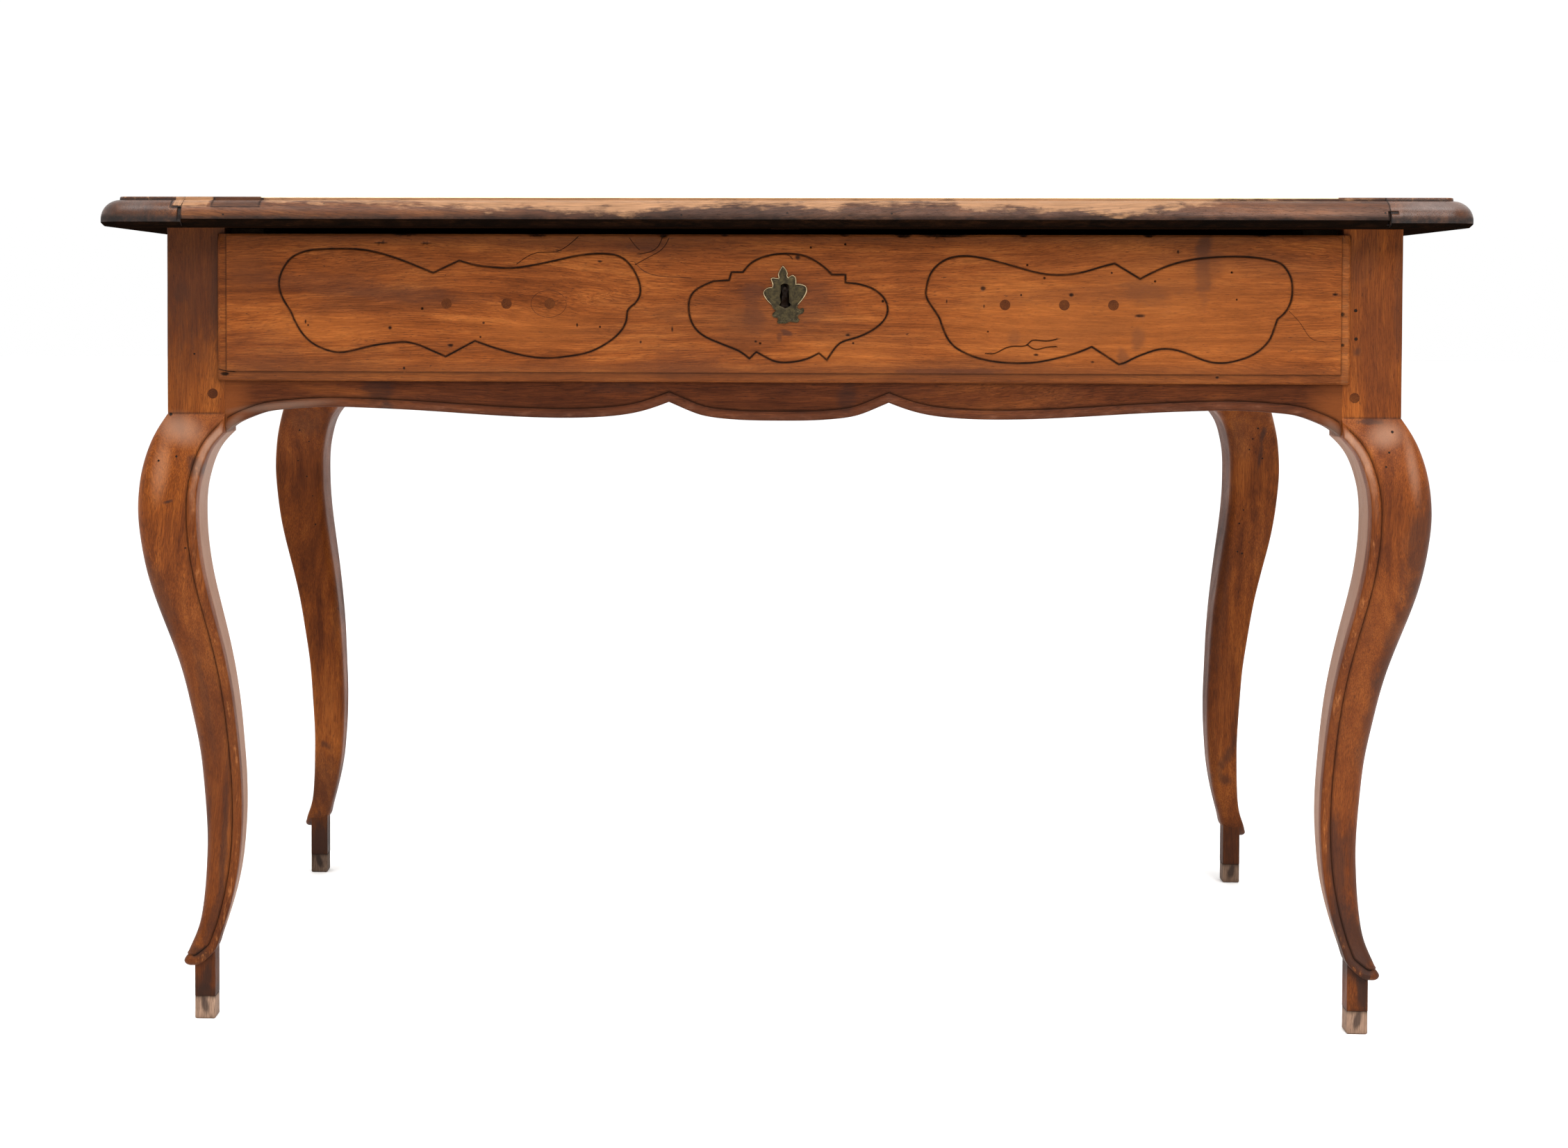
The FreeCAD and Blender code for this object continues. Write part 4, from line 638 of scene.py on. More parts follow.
def square_column(inset, side, low, high, round_low, round_high, edge, step):
    """a square column with eased edges, as rows of a ring"""
    heights = np.concatenate([low + round_low * (1 - np.cos(np.linspace(0, math.pi / 2, 4))),
                              np.arange(low + round_low + step, high - round_high, step),
                              high - round_high * (1 - np.cos(np.linspace(math.pi / 2, 0, 4)))])
    shrink = (round_over(low + round_low - heights, round_low) * (heights < low + round_low)
              + round_over(heights - high + round_high, round_high) * (heights > high - round_high))
    ring = []
    half = side / 2
    for quarter in range(4):
        centre = np.array([[1, 1], [-1, 1], [-1, -1], [1, -1]])[quarter] * (half - edge)
        for angle in np.linspace(0, math.pi / 2, 4) + quarter * math.pi / 2:
            ring.append(centre + edge * np.array([math.cos(angle), math.sin(angle)]))
        after = np.array([[-1, 1], [-1, -1], [1, -1], [1, 1]])[quarter] * (half - edge)
        last = ring[-1]
        angle = (quarter + 1) * math.pi / 2
        goal = after + edge * np.array([math.cos(angle), math.sin(angle)])
        ring += [last + (goal - last) * share for share in (0.25, 0.5, 0.75)]
    ring = np.array(ring)
    middle = inset + half
    table = np.zeros((len(heights), len(ring), 3))
    for row, (height, less) in enumerate(zip(heights, shrink)):
        table[row, :, :2] = middle + ring * (half - less) / half
        table[row, :, 2] = height
    return table


def corner_place(points, side, row):
    """moves points from the pattern's own corner to one of the desk's four corners"""
    points = np.asarray(points, float)
    out = points.copy()
    out[..., 0] = side * (HALF_X - points[..., 0])
    out[..., 1] = row * (HALF_Y - points[..., 1])
    return out


# tone factors per leg; the front right leg is lightened as painted light from the right
LEG_LIGHT_AND_SHADE = dict(leg_front_left=0.98, leg_front_right=1.20, leg_back_left=1.05, leg_back_right=0.90)
LEG_HOLES = dict(
    leg_front_left=[((-540.7, 0, 548.2), 1.4), ((-547.1, 0, 507.9), 1.0), ((-531.5, 0, 511.7), 1.0),
                    ((-563.3, 0, 501.0), 0.8), ((-523.0, 0, 431.0), 0.8), ((-519.5, 0, 602.0), 0.9)],
    leg_front_right=[((534.1, 0, 537.6), 1.2), ((529.5, 0, 520.0), 1.0), ((526.0, 0, 507.8), 0.9),
                     ((503.1, 0, 643.2), 1.5), ((503.7, 0, 618.3), 1.5), ((506.5, 0, 486.0), 0.8)],
    leg_back_left=[((-538, 0, 505), 1.0), ((-531, 0, 452), 0.9), ((-541, 0, 470), 0.8), ((-520, 0, 398), 0.9),
                   ((-528, 0, 492), 0.8), ((-524, 0, 430), 0.7)],
    leg_back_right=[((541, 0, 512), 1.1), ((536, 0, 500), 0.9), ((548, 0, 478), 0.9), ((527, 0, 420), 0.9),
                    ((533, 0, 488), 0.9), ((522, 0, 405), 1.0), ((524, 0, 372), 1.1), ((519, 0, 374), 0.9)])
LEG_STAINS = dict(
    # the dark upper post, a painted shadow beside the drawer, the soiled block, and painted highlights on the
    # knee
    leg_front_left=[((-520, -300, 640), (70, 60, 80), 0.55, 0.0, "smoke"),
                    ((-520, -300, 690), (60, 60, 78), 0.50, 0.0),
                    ((-497, -300, 660), (7, 60, 70), 0.50, 0.0),
                    ((-531, -300, 655), (7, 40, 12), 0.40, 0.0),
                    ((-530, -300, 535), (17, 60, 10), 0.50, 0.3, "sheen"),
                    ((-545, -300, 500), (6, 60, 22), 0.30, 0.1, "sheen"),
                    ((-514.5, -310, 503), (6.5, 30, 9), 0.75, -0.5),
                    ((-537.8, -315, 472), (4.5, 30, 1.6), 0.85, -0.3),
                    ((-515, -290, 190), (70, 60, 190), 0.42, 0.0, "smoke"),
                    ((-514, -275, 37), (4.5, 60, 13), 0.80, 0.12),
                    ((-522, -275, 30), (4, 60, 8), 0.50, -0.2), ((-516, -275, 25), (11, 60, 6), 0.70, 0.0),
                    ((-548, -310, 385), (9, 60, 34), 0.45, -0.25),
                    ((-541, -300, 330), (5, 60, 50), 0.40, -0.2),
                    ((-514, -300, 290), (4, 60, 50), 0.35, -0.12),
                    ((-500, -276, 165), (3, 60, 60), 0.60, 0.06),
                    ((-519, -276, 150), (3, 60, 50), 0.45, 0.12),
                    ((-508, -276, 95), (4, 60, 26), 0.45, 0.3), ((-519, -276, 62), (9, 60, 5), 0.60, 0.4)],
    leg_front_right=[((520, -300, 640), (70, 60, 60), 0.38, 0.0, "smoke"),
                     ((520, -290, 250), (70, 60, 240), 0.50, 0.0, "smoke"),
                     ((510, -300, 690), (12, 40, 30), 0.30, 0.2),
                     ((540, -300, 655), (4, 60, 60), 0.30, 0.0),
                     ((516, -310, 546), (12, 30, 2.5), 0.75, 0.0),
                     # painted highlights on the knee
                     ((528, -300, 535), (12, 60, 9), 0.45, -0.3, "sheen"),
                     ((549, -300, 505), (4, 60, 22), 0.30, -0.1, "sheen"),
                     ((556, -300, 440), (13, 60, 50), 0.65, 0.12),
                     ((543, -300, 360), (10, 60, 55), 0.60, 0.3),
                     ((526, -290, 285), (8, 60, 50), 0.45, 0.2), ((521, -275, 40), (5, 60, 20), 0.90, 0.0),
                     ((510, -276, 82), (20, 60, 34), 0.85, -0.5),
                     ((499, -276, 145), (8, 60, 50), 0.65, -0.1),
                     ((513, -276, 150), (5, 60, 40), 0.45, -0.1),
                     ((505, -300, 607), (3, 30, 4), 0.55, 0.3)],
    leg_back_left=[((-516, 272, 36), (16, 60, 26), 0.90, 0.0), ((-508, 276, 105), (24, 60, 40), 0.45, 0.0),
                   ((-520, 276, 420), (60, 60, 90), 0.35, 0.0, "smoke"),
                   ((-490, 276, 330), (6, 60, 60), 0.40, 0.1), ((-505, 276, 150), (8, 60, 4), 0.6, 0.6),
                   ((-528, 300, 520), (30, 60, 22), 0.45, 0.0)],
    leg_back_right=[((516, 272, 40), (16, 60, 22), 0.40, 0.0), ((508, 276, 150), (5, 60, 34), 0.60, 0.5),
                    ((505, 276, 120), (10, 60, 6), 0.55, 0.5), ((547, 276, 505), (3, 60, 9), 0.75, 0.2),
                    ((500, 276, 330), (7, 60, 110), 0.40, 0.1),
                    ((545, 276, 480), (2.5, 60, 14), 0.60, 0.1), ((520, 276, 205), (6, 60, 40), 0.45, 0.2),
                    ((520, 300, 505), (14, 60, 30), 0.30, 0.0)])
for row, row_name in ((-1, "front"), (1, "back")):
    for side, side_name in ((-1, "left"), (1, "right")):
        name = f"leg_{row_name}_{side_name}"
        skin = Skin()
        other = HALF[..., [1, 0, 2]]
        # the back legs get no painted reflection on their inner faces
        pale = LEG_HIGHLIGHT.copy()
        if row > 0:
            pale[:, INNER_FACE] = 0
        skin.grid(HALF, dirt=LEG_DIRT_AND_SHADE, wear=WEAR, pale=pale)
        skin.grid(other, dirt=LEG_DIRT_AND_SHADE, wear=WEAR, pale=pale)
        # the rim of the toe, round the outer corner, and its small flat underside
        rim = HALF[0, FACE_COLUMNS - 1:FACE_COLUMNS + len(BEAD_SHARES)]
        centre = rim[0, 0]
        reach = centre - rim[:, 1]
        turn = np.linspace(0, math.pi / 2, 12)
        table = np.stack([centre - reach[:, None] * np.sin(turn), centre - reach[:, None] * np.cos(turn),
                          np.repeat(rim[:, 2][:, None], len(turn), 1)], -1)
        skin.grid(table, dirt=0.25)
        ring = list(table[-1]) + [np.array([centre, centre, rim[-1, 2]])]
        skin.lid(ring, dirt=0.4)
        skin.lid(np.concatenate([HALF[-1], other[-1][::-1]]))
        block = square_column(FOOT_INSET, FOOT_SIDE, TIP_HEIGHT, BLOCK_TOP, 0.5, 0.5, 0.9, 3)
        block_dirt = np.interp(block[..., 2], [20, 24, 45, 55], [0.75, 0.45, 0.3, 0.5])
        skin.grid(block, round_rows=True, dirt=block_dirt)
        skin.lid(block[0], dirt=0.8)
        places = corner_place(skin.places(), side, row)
        # hand-made waves, and a hair's breadth below the peg heads
        wave = lumps(places + 900 * (row + 2) + 300 * side, 23, 5) * 0.12 + lumps(places, 61, 9) * 0.16
        inward = np.array([side * (HALF_X - LEG_MIDDLE), row * (HALF_Y - LEG_MIDDLE)]) - places[:, :2]
        inward /= np.maximum(np.linalg.norm(inward, axis=1), 1)[:, None]
        places[:, :2] += inward * (HAIR + wave * 0.5)[:, None]
        # the pale colour paints the highlight and the reflection, and the tone factor per leg is partly
        # painted light
        material = wood(f"{row_name} {side_name} leg wood", "z", shaded(LEG_TONES, LEG_LIGHT_AND_SHADE[name]),
                        start=(0.3 * side, 0.7 * row, 0.11), ring=0.016, blotch=1.1, haze=0.45, shine=0.08,
                        pale=(0.290, 0.165, 0.110), holes=LEG_HOLES[name], stains=LEG_STAINS[name])
        build(name, skin, places, "table", material, [name])

# %% [markdown]
# ## Foot tips
# Short tips of another wood stand under the blocks. Floors and mops have rounded their lower edges, and
# the joint above them is dark with glue and dirt. The two at the back are darker than those in front.

# %% Foot tips
TIP_SHADE = dict(foot_tip_front_left=1.0, foot_tip_front_right=1.0, foot_tip_back_left=0.34,
                 foot_tip_back_right=0.55)
for row, row_name in ((-1, "front"), (1, "back")):
    for side, side_name in ((-1, "left"), (1, "right")):
        name = f"foot_tip_{row_name}_{side_name}"
        skin = Skin()
        table = square_column(FOOT_INSET + 0.3, 18.2, 0, TIP_HEIGHT, 1.6, 0.4, 0.9, 1.2)
        skin.grid(table, round_rows=True,
                  dirt=np.interp(table[..., 2], [0, 1.5, 5, 17, 19.5, 20.8], [0.5, 0.2, 0, 0.05, 0.45, 0.9]))
        skin.lid(table[0], dirt=0.6)
        skin.lid(table[-1], dirt=0.9)
        places = corner_place(skin.places(), side, row)
        places[:, :2] += lumps(places + 77 * side + 31 * row, 9, 21)[:, None] * 0.12
        smear = ((side * 516, row * 275, 13), (3.2, 60, 9), 0.85, 0.25 * side)
        tones = shaded(TIP_TONES, TIP_SHADE[name])
        material = wood(f"{row_name} {side_name} tip wood", "z", tones, start=(side * 0.4, row * 0.3, 0),
                        flame=0.0, gloss=0.6, shine=0.08, flecks=1.0, stains=[smear])
        build(name, skin, places, "table", material, [name])

# %% [markdown]
# ## Aprons
# Under the drawer and at the other three sides a board with a curved lower edge joins the legs. Its bead
# meets the bead of the legs, so both read as one line. The long aprons have a cusp at each side of their
# middle lobe: there the two runs of bead meet in a mitre, a sharp corner.

# %% Apron pattern
SEAT = 585.8
MIDDLE_LOBE = [(0, 544.6), (30, 545.0), (52, 546.6), (70, 549.8), (85, 555.6), (97, 560.8)]
OUTER_LOBE = [(97, 560.8), (109, 556.3), (126, 551.4), (150, 547.9), (187, 546.3), (224, 546.9),
              (273, 549.5), (323, 552.6), (372, 554.7), (401, 555.2), (434, 553.3), (459, 549.6),
              (472, 545), (483, 539.8), (492, 532.8)]
SIDE_EDGE = [(0, 545.6), (40, 546.6), (80, 549.8), (120, 553.3), (154, 554.7), (184, 554.1), (206, 551.4),
             (218, 548.7), (228, 545), (239, 539.8), (248, 532.8)]
APRON = 22.0
SKIN_DEEP = 0.12  # flat faces lie this much deeper than measured, so that their waves stay inside
BLEND = 5  # points of each run that bend towards a mitre
# lighter ends by the posts, partly painted light; painted highlights on the bead by the posts and along the
# left; dark stains
APRON_STAINS = [((-488, -300, 556), (16, 40, 20), 0.75, 0.0, "warm"),
                ((488, -300, 556), (20, 40, 20), 0.75, 0.0, "warm"),
                ((-486, -305, 537), (10, 40, 4), 0.50, -0.9, "sheen"),
                ((486, -305, 537), (10, 40, 4), 0.45, 0.9, "sheen"),
                ((-355, -300, 573), (14, 30, 12), 0.6, 0.0), ((-348, -300, 556), (5, 30, 5), 0.8, 0.0),
                ((-440, -300, 556), (35, 30, 3), 0.45, -0.1, "sheen"),
                ((60, -300, 566), (8, 30, 14), 0.5, 0.2), ((-140, -300, 575), (30, 30, 6), 0.4, 0.0)]


def mirrored(stretch):
    return [(-x, z) for x, z in reversed(stretch)]


def mitre(stretches, width, step):
    """edge points and the points a bead's width above them, with a mitre where two stretches meet"""
    walks = [walk(stretch, step) for stretch in stretches]
    sides = [sideways(points) for points in walks]
    flats = [points + side * width for points, side in zip(walks, sides)]
    for k in range(len(walks) - 1):
        both = sides[k][-1] + sides[k + 1][0]
        both /= np.linalg.norm(both)
        corner = walks[k][-1] + both * width / (both @ sides[k][-1])
        share = np.linspace(0, 1, BLEND + 1)[1:, None] ** 2
        before, after = flats[k], flats[k + 1]
        before[-BLEND:] = before[-BLEND:] + (corner - before[-1]) * share
        after[:BLEND] = after[:BLEND] + (corner - after[0]) * share[::-1]
    return walks, flats


def apron(name, stretches, span, top, tones, place, seed, stains=()):
    skin = Skin()
    walks, flats = mitre(stretches, BEAD + GROOVE, 3.0)
    edge, flat = np.concatenate(walks), np.concatenate(flats)
    keep = np.ones(len(edge), bool)
    start = 0
    for points in walks[:-1]:
        start += len(points)
        keep[start] = False
    edge, flat = edge[keep], flat[keep]
    reach = np.where(np.abs(flat[:, 0]) > span, (span - np.abs(edge[:, 0])) /
                     np.maximum(np.abs(flat[:, 0]) - np.abs(edge[:, 0]), 1e-6), 1)
    reach = np.clip(reach, 0, 1)
    shares = BEAD_SHARES * reach[:, None]
    x = edge[:, :1] + (flat[:, :1] - edge[:, :1]) * shares
    z = edge[:, 1:] + (flat[:, 1:] - edge[:, 1:]) * shares
    y = bead_drop(shares)
    face = np.linspace(0, 1, 9)[1:]
    face_z = z[:, -1:] + (top - z[:, -1:]) * face
    under = np.linspace(0, 1, 6)[1:]
    under_y = y[:, :1] + (APRON - 1.0 - y[:, :1]) * under
    back = np.linspace(0, 1, 8)
    back_z = (edge[:, 1:] + 1.0) + (top - edge[:, 1:] - 1.0) * back
    xs = [np.repeat(edge[:, :1], len(back), 1)[:, ::-1], np.repeat(edge[:, :1], len(under), 1)[:, ::-1], x,
          np.repeat(x[:, -1:], len(face), 1)]
    ys = [np.full_like(back_z, APRON)[:, ::-1], under_y[:, ::-1], y, np.zeros_like(face_z)]
    zs = [back_z[:, ::-1], np.repeat(edge[:, 1:], len(under), 1), z, face_z]
    table = np.stack([np.concatenate(group, 1) for group in (xs, ys, zs)], -1)
    first = len(back) + len(under)
    bead = slice(first, first + len(BEAD_SHARES))
    dirt, wear, pale = (np.zeros(table.shape[:2]) for _ in MARKS)
    dirt[:, bead] = np.interp(shares, BEAD_SHARES, BEAD_DIRT_AND_SHADE)
    wear[:, bead] = np.interp(shares, BEAD_SHARES, BEAD_WEAR)
    # painted highlight: the bead is paler, in the apron's pale colour
    pale[:, bead] = 0.6 * np.interp(shares, BEAD_SHARES, BEAD_HIGHLIGHT)
    skin.grid(table, round_rows=True, dirt=dirt, wear=wear, pale=pale)
    skin.lid(table[0])
    skin.lid(table[-1])
    places = skin.places()
    wave = lumps(places + seed * 41, 30, seed) * 0.10
    places[:, 1] += np.where(places[:, 1] < 10, SKIN_DEEP + wave, 0)
    angle, middle = place
    turned = places.copy()
    cos, sin = math.cos(angle), math.sin(angle)
    turned[:, 0] = places[:, 0] * cos - places[:, 1] * sin + middle[0]
    turned[:, 1] = places[:, 0] * sin + places[:, 1] * cos + middle[1]
    grain = "x" if abs(cos) > 0.5 else "y"
    material = wood(f"{name} wood", grain, tones, start=(0.21 * seed, 0.05 * seed, 0.03),
                    worn=(0.155, 0.060, 0.030), pale=(0.125, 0.052, 0.032), shine=0.04, stains=stains)
    build(name, skin, turned, "table", material, [name])


# %% Build the aprons
LONG = [mirrored(OUTER_LOBE), mirrored(MIDDLE_LOBE)[:-1] + MIDDLE_LOBE, OUTER_LOBE]
SIDE = [mirrored(SIDE_EDGE)[:-1] + SIDE_EDGE]
SIDE_TONES = shaded(LEG_TONES, 0.72)
LONG_SPAN, SIDE_SPAN = HALF_X - POST, HALF_Y - POST
apron("front_apron", LONG, LONG_SPAN, SEAT, SHADED_APRON_TONES, (0, (0, -HALF_Y)), 3, APRON_STAINS)
apron("back_apron", LONG, LONG_SPAN, UNDERSIDE, SIDE_TONES, (math.pi, (0, HALF_Y)), 4)
apron("left_apron", SIDE, SIDE_SPAN, UNDERSIDE, SIDE_TONES, (-math.pi / 2, (-HALF_X, 0)), 5)
apron("right_apron", SIDE, SIDE_SPAN, UNDERSIDE, SIDE_TONES, (math.pi / 2, (HALF_X, 0)), 6)

# %% [markdown]
# ## Reliefs on a flat face
# The drawer front and the key plate are flat pieces whose faces carry fine lines. Such a face is made from
# points that lie densely along each line and sparsely elsewhere. The points are joined into triangles, and
# each is pushed back by a depth that depends on its distance from the lines.

# %% Relief
def to_line(points, line):
    """distance from each point to a line of short straight runs"""
    best = np.full(len(points), 1e9)
    for a, b in zip(line[:-1], line[1:]):
        run = b - a
        share = np.clip(((points - a) @ run) / max(run @ run, 1e-12), 0, 1)
        away = points - a - share[:, None] * run
        best = np.minimum(best, np.sqrt((away ** 2).sum(1)))
    return best


def near_line(points, line, reach):
    """as to_line, but only for points near the line; the others get a large distance"""
    best = np.full(len(points), 1e3)
    for start in range(0, len(line) - 1, 12):
        run = line[start:start + 13]
        low, high = run.min(0) - reach, run.max(0) + reach
        close = np.nonzero(((points > low) & (points < high)).all(1))[0]
        if len(close):
            best[close] = np.minimum(best[close], to_line(points[close], run))
    return best


def inside(points, ring):
    """whether each point lies inside a closed ring"""
    x, z = points[:, 0], points[:, 1]
    odd = np.zeros(len(points), bool)
    for (ax, az), (bx, bz) in zip(ring, np.roll(ring, -1, axis=0)):
        crosses = (az > z) != (bz > z)
        at = ax + (z - az) / (bz - az if bz != az else 1e-12) * (bx - ax)
        odd ^= crosses & (x < at)
    return odd


def rings_beside(line, distances):
    """points beside a line at the given distances on both sides, where no other stretch is nearer"""
    points = []
    side = sideways(line)
    for distance in distances:
        moved = line + side * distance
        apart = near_line(moved, line, abs(distance) + 1)
        points.append(moved[apart > abs(distance) * 0.97])
    return np.concatenate(points)


def triangles(border, holes, extra):
    """triangles between a border ring and holes, through the extra points"""
    points = [border] + holes
    rings = []
    start = 0
    for ring in points:
        rings.append(list(range(start, start + len(ring))))
        start += len(ring)
    edges = [(ring[i], ring[(i + 1) % len(ring)]) for ring in rings for i in range(len(ring))]
    everything = np.concatenate(points + [extra])
    out = geometry.delaunay_2d_cdt([Vector(p) for p in everything], edges, [], 0, 1e-4)
    made = np.array([tuple(v) for v in out[0]])
    faces = np.array(out[2])
    middle = made[faces].mean(1)
    good = inside(middle, border)
    for hole in holes:
        good &= ~inside(middle, hole)
    return made, faces[good]


# %% [markdown]
# ## Drawer front
# One long board with a lip at both ends and along the bottom, cut a step lower than the face and rounded at
# its outer edge. Three cartouches are incised with a V-shaped tool. The outlines have round lobes between
# sharp corners; each lobe is a bent lath through its marks.

# %% Cartouche outlines
LEFT_CARTOUCHE = [
    [(-283, 686)],
    [(-269, 682), (-253, 680), (-239, 679.3), (-223, 681), (-210, 683.5), (-194, 687), (-178, 690.5),
     (-165, 692), (-151, 692), (-142, 690), (-135, 685.5), (-129, 678), (-125, 670), (-123, 662),
     (-124, 654), (-128, 648)],
    [(-134, 642), (-135, 635), (-138, 627), (-146, 618), (-158, 610), (-171, 604.5), (-184, 602),
     (-203, 600), (-219, 601), (-234, 604), (-252, 609), (-269, 615)], [(-295, 601)],
    [(-311, 608), (-328, 613.5), (-343, 613), (-362, 610), (-378, 606), (-390, 604.5), (-402, 607),
     (-414, 613), (-423, 622), (-430, 634)],
    [(-432, 639), (-438, 649), (-442, 658), (-443, 667), (-439, 679), (-432, 688), (-421, 693.5),
     (-402, 696), (-385, 696.3), (-366, 695), (-353, 692.3), (-339, 688), (-322, 681.5), (-306, 675)],
]
MIDDLE_CARTOUCHE = [
    [(-46, 670)], [(-44, 677)], [(-34, 677)],
    [(-29, 683), (-22, 688), (-12, 691.6), (1, 693.4), (13, 693), (24, 690), (32, 685.5), (38, 681),
     (44, 675)], [(56, 675)], [(56, 668)],
    [(66, 667), (77, 664), (86, 658.5), (91, 652.5), (93, 646), (92, 639), (87, 632), (80, 626.5),
     (72, 622.3), (64, 619.3), (56, 617), (51, 614.5), (46, 609), (40, 600)], [(33, 606)],
    [(25, 602), (14, 598.8), (4, 597.8), (-5, 598.6), (-13, 602), (-22, 607)], [(-28, 601)],
    [(-36, 607), (-45, 611), (-59, 616.5), (-69, 621.5), (-76, 628), (-80, 636), (-81.5, 645), (-81, 652),
     (-78, 658.5), (-71, 664), (-60, 669)],
]
RIGHT_CARTOUCHE = [
    [(314.8, 670.3)],
    [(332.5, 679.2), (351.2, 685.5), (376.7, 689.3), (403.5, 689.9), (429, 686.7), (437, 683.5),
     (442.4, 677.3), (445.5, 670.6), (446.6, 662.5), (446.2, 654.4), (443.6, 646.3), (440.1, 640.9),
     (434, 635.4)],
    [(430.9, 626), (428.3, 619.2), (423.5, 612.4), (417.7, 607.3), (409.7, 602.7), (400.3, 599.4),
     (390.9, 597.4), (382.9, 597.1), (374.8, 598.2), (366.7, 600.9), (350.6, 607.1), (342.5, 608.9),
     (334.4, 609.2), (321, 605.6), (307.6, 599.9), (302.2, 597.1), (296.8, 595.5)], [(273.3, 610.9)],
    [(259, 605.1), (242.9, 600.7), (226.7, 597.4), (209.1, 596.3), (188.9, 597.6), (169.9, 602.1),
     (161.8, 605.6), (153.6, 610.7), (148.1, 617), (144.6, 623.8), (140.5, 635.2)],
    [(137.2, 640.6), (130.3, 651), (128.4, 656.5), (128.9, 662.5), (130.5, 669.9), (134.3, 677.5),
     (140.2, 683.5), (147.7, 687.8), (155.8, 689.7), (165.3, 690), (185.6, 686.5), (207.2, 680.6),
     (226.1, 675.5), (236.9, 673.9), (247.7, 673.7), (258.5, 674.8), (269.2, 677.2), (280, 680.5),
     (292.6, 683.8)],
]


def outline(stretches, shift, step=1.1):
    """one closed line; each stretch goes on from the end of the last one, with a sharp corner there"""
    points = []
    corner = stretches[-1][-1]
    for stretch in stretches:
        line = walk([corner] + stretch, step)
        points.append(line[:-1])
        corner = stretch[-1]
    line = np.concatenate(points) + shift
    return np.concatenate([line, line[:1]])


CARTOUCHES = [outline(LEFT_CARTOUCHE, (0.8, -0.6)), outline(MIDDLE_CARTOUCHE, (2.0, -1.5)),
              outline(RIGHT_CARTOUCHE, (0.0, 0.0))]
for line in CARTOUCHES:
    print("cartouche: from", line.min(0).round(), "to", line.max(0).round())

# %% [markdown]
# The face is made from the outlines: fine rows of points beside the incised lines and along the lip, and a
# looser field between. The incised line has soft shoulders, because long waxing and rubbing round a sharp
# edge. Grime lies in its bottom and fades out beside it.

# %% Drawer front
FRONT_TOP = 708.5
LIP_LOW = 578.4
LIP_X = 497.8
STEP_DEPTH = 1.5
LIP_ROUND = 3.5
LIP_BORDER = 8.6
CUT_HALF = 1.5
CUT_DEPTH = 1.6
KEYHOLE = [(1.4, 658.3), (0.6, 654.7), (1.5, 649.1), (-0.1, 646.7), (2.4, 645.1), (5.2, 643.8), (8, 644.9),
           (10.5, 646.7), (8.7, 649.1), (8.8, 654.2), (8.3, 658.3), (8.4, 663.4), (7.9, 664.6), (6.4, 665.4),
           (4.9, 665.6), (3.4, 665.4), (1.8, 664.6), (1.3, 663.3)]


def keyhole_ring(grow=0.0):
    ring = np.array(KEYHOLE)
    centre = ring.mean(0)
    return centre + (ring - centre) * (1 + grow / 5)


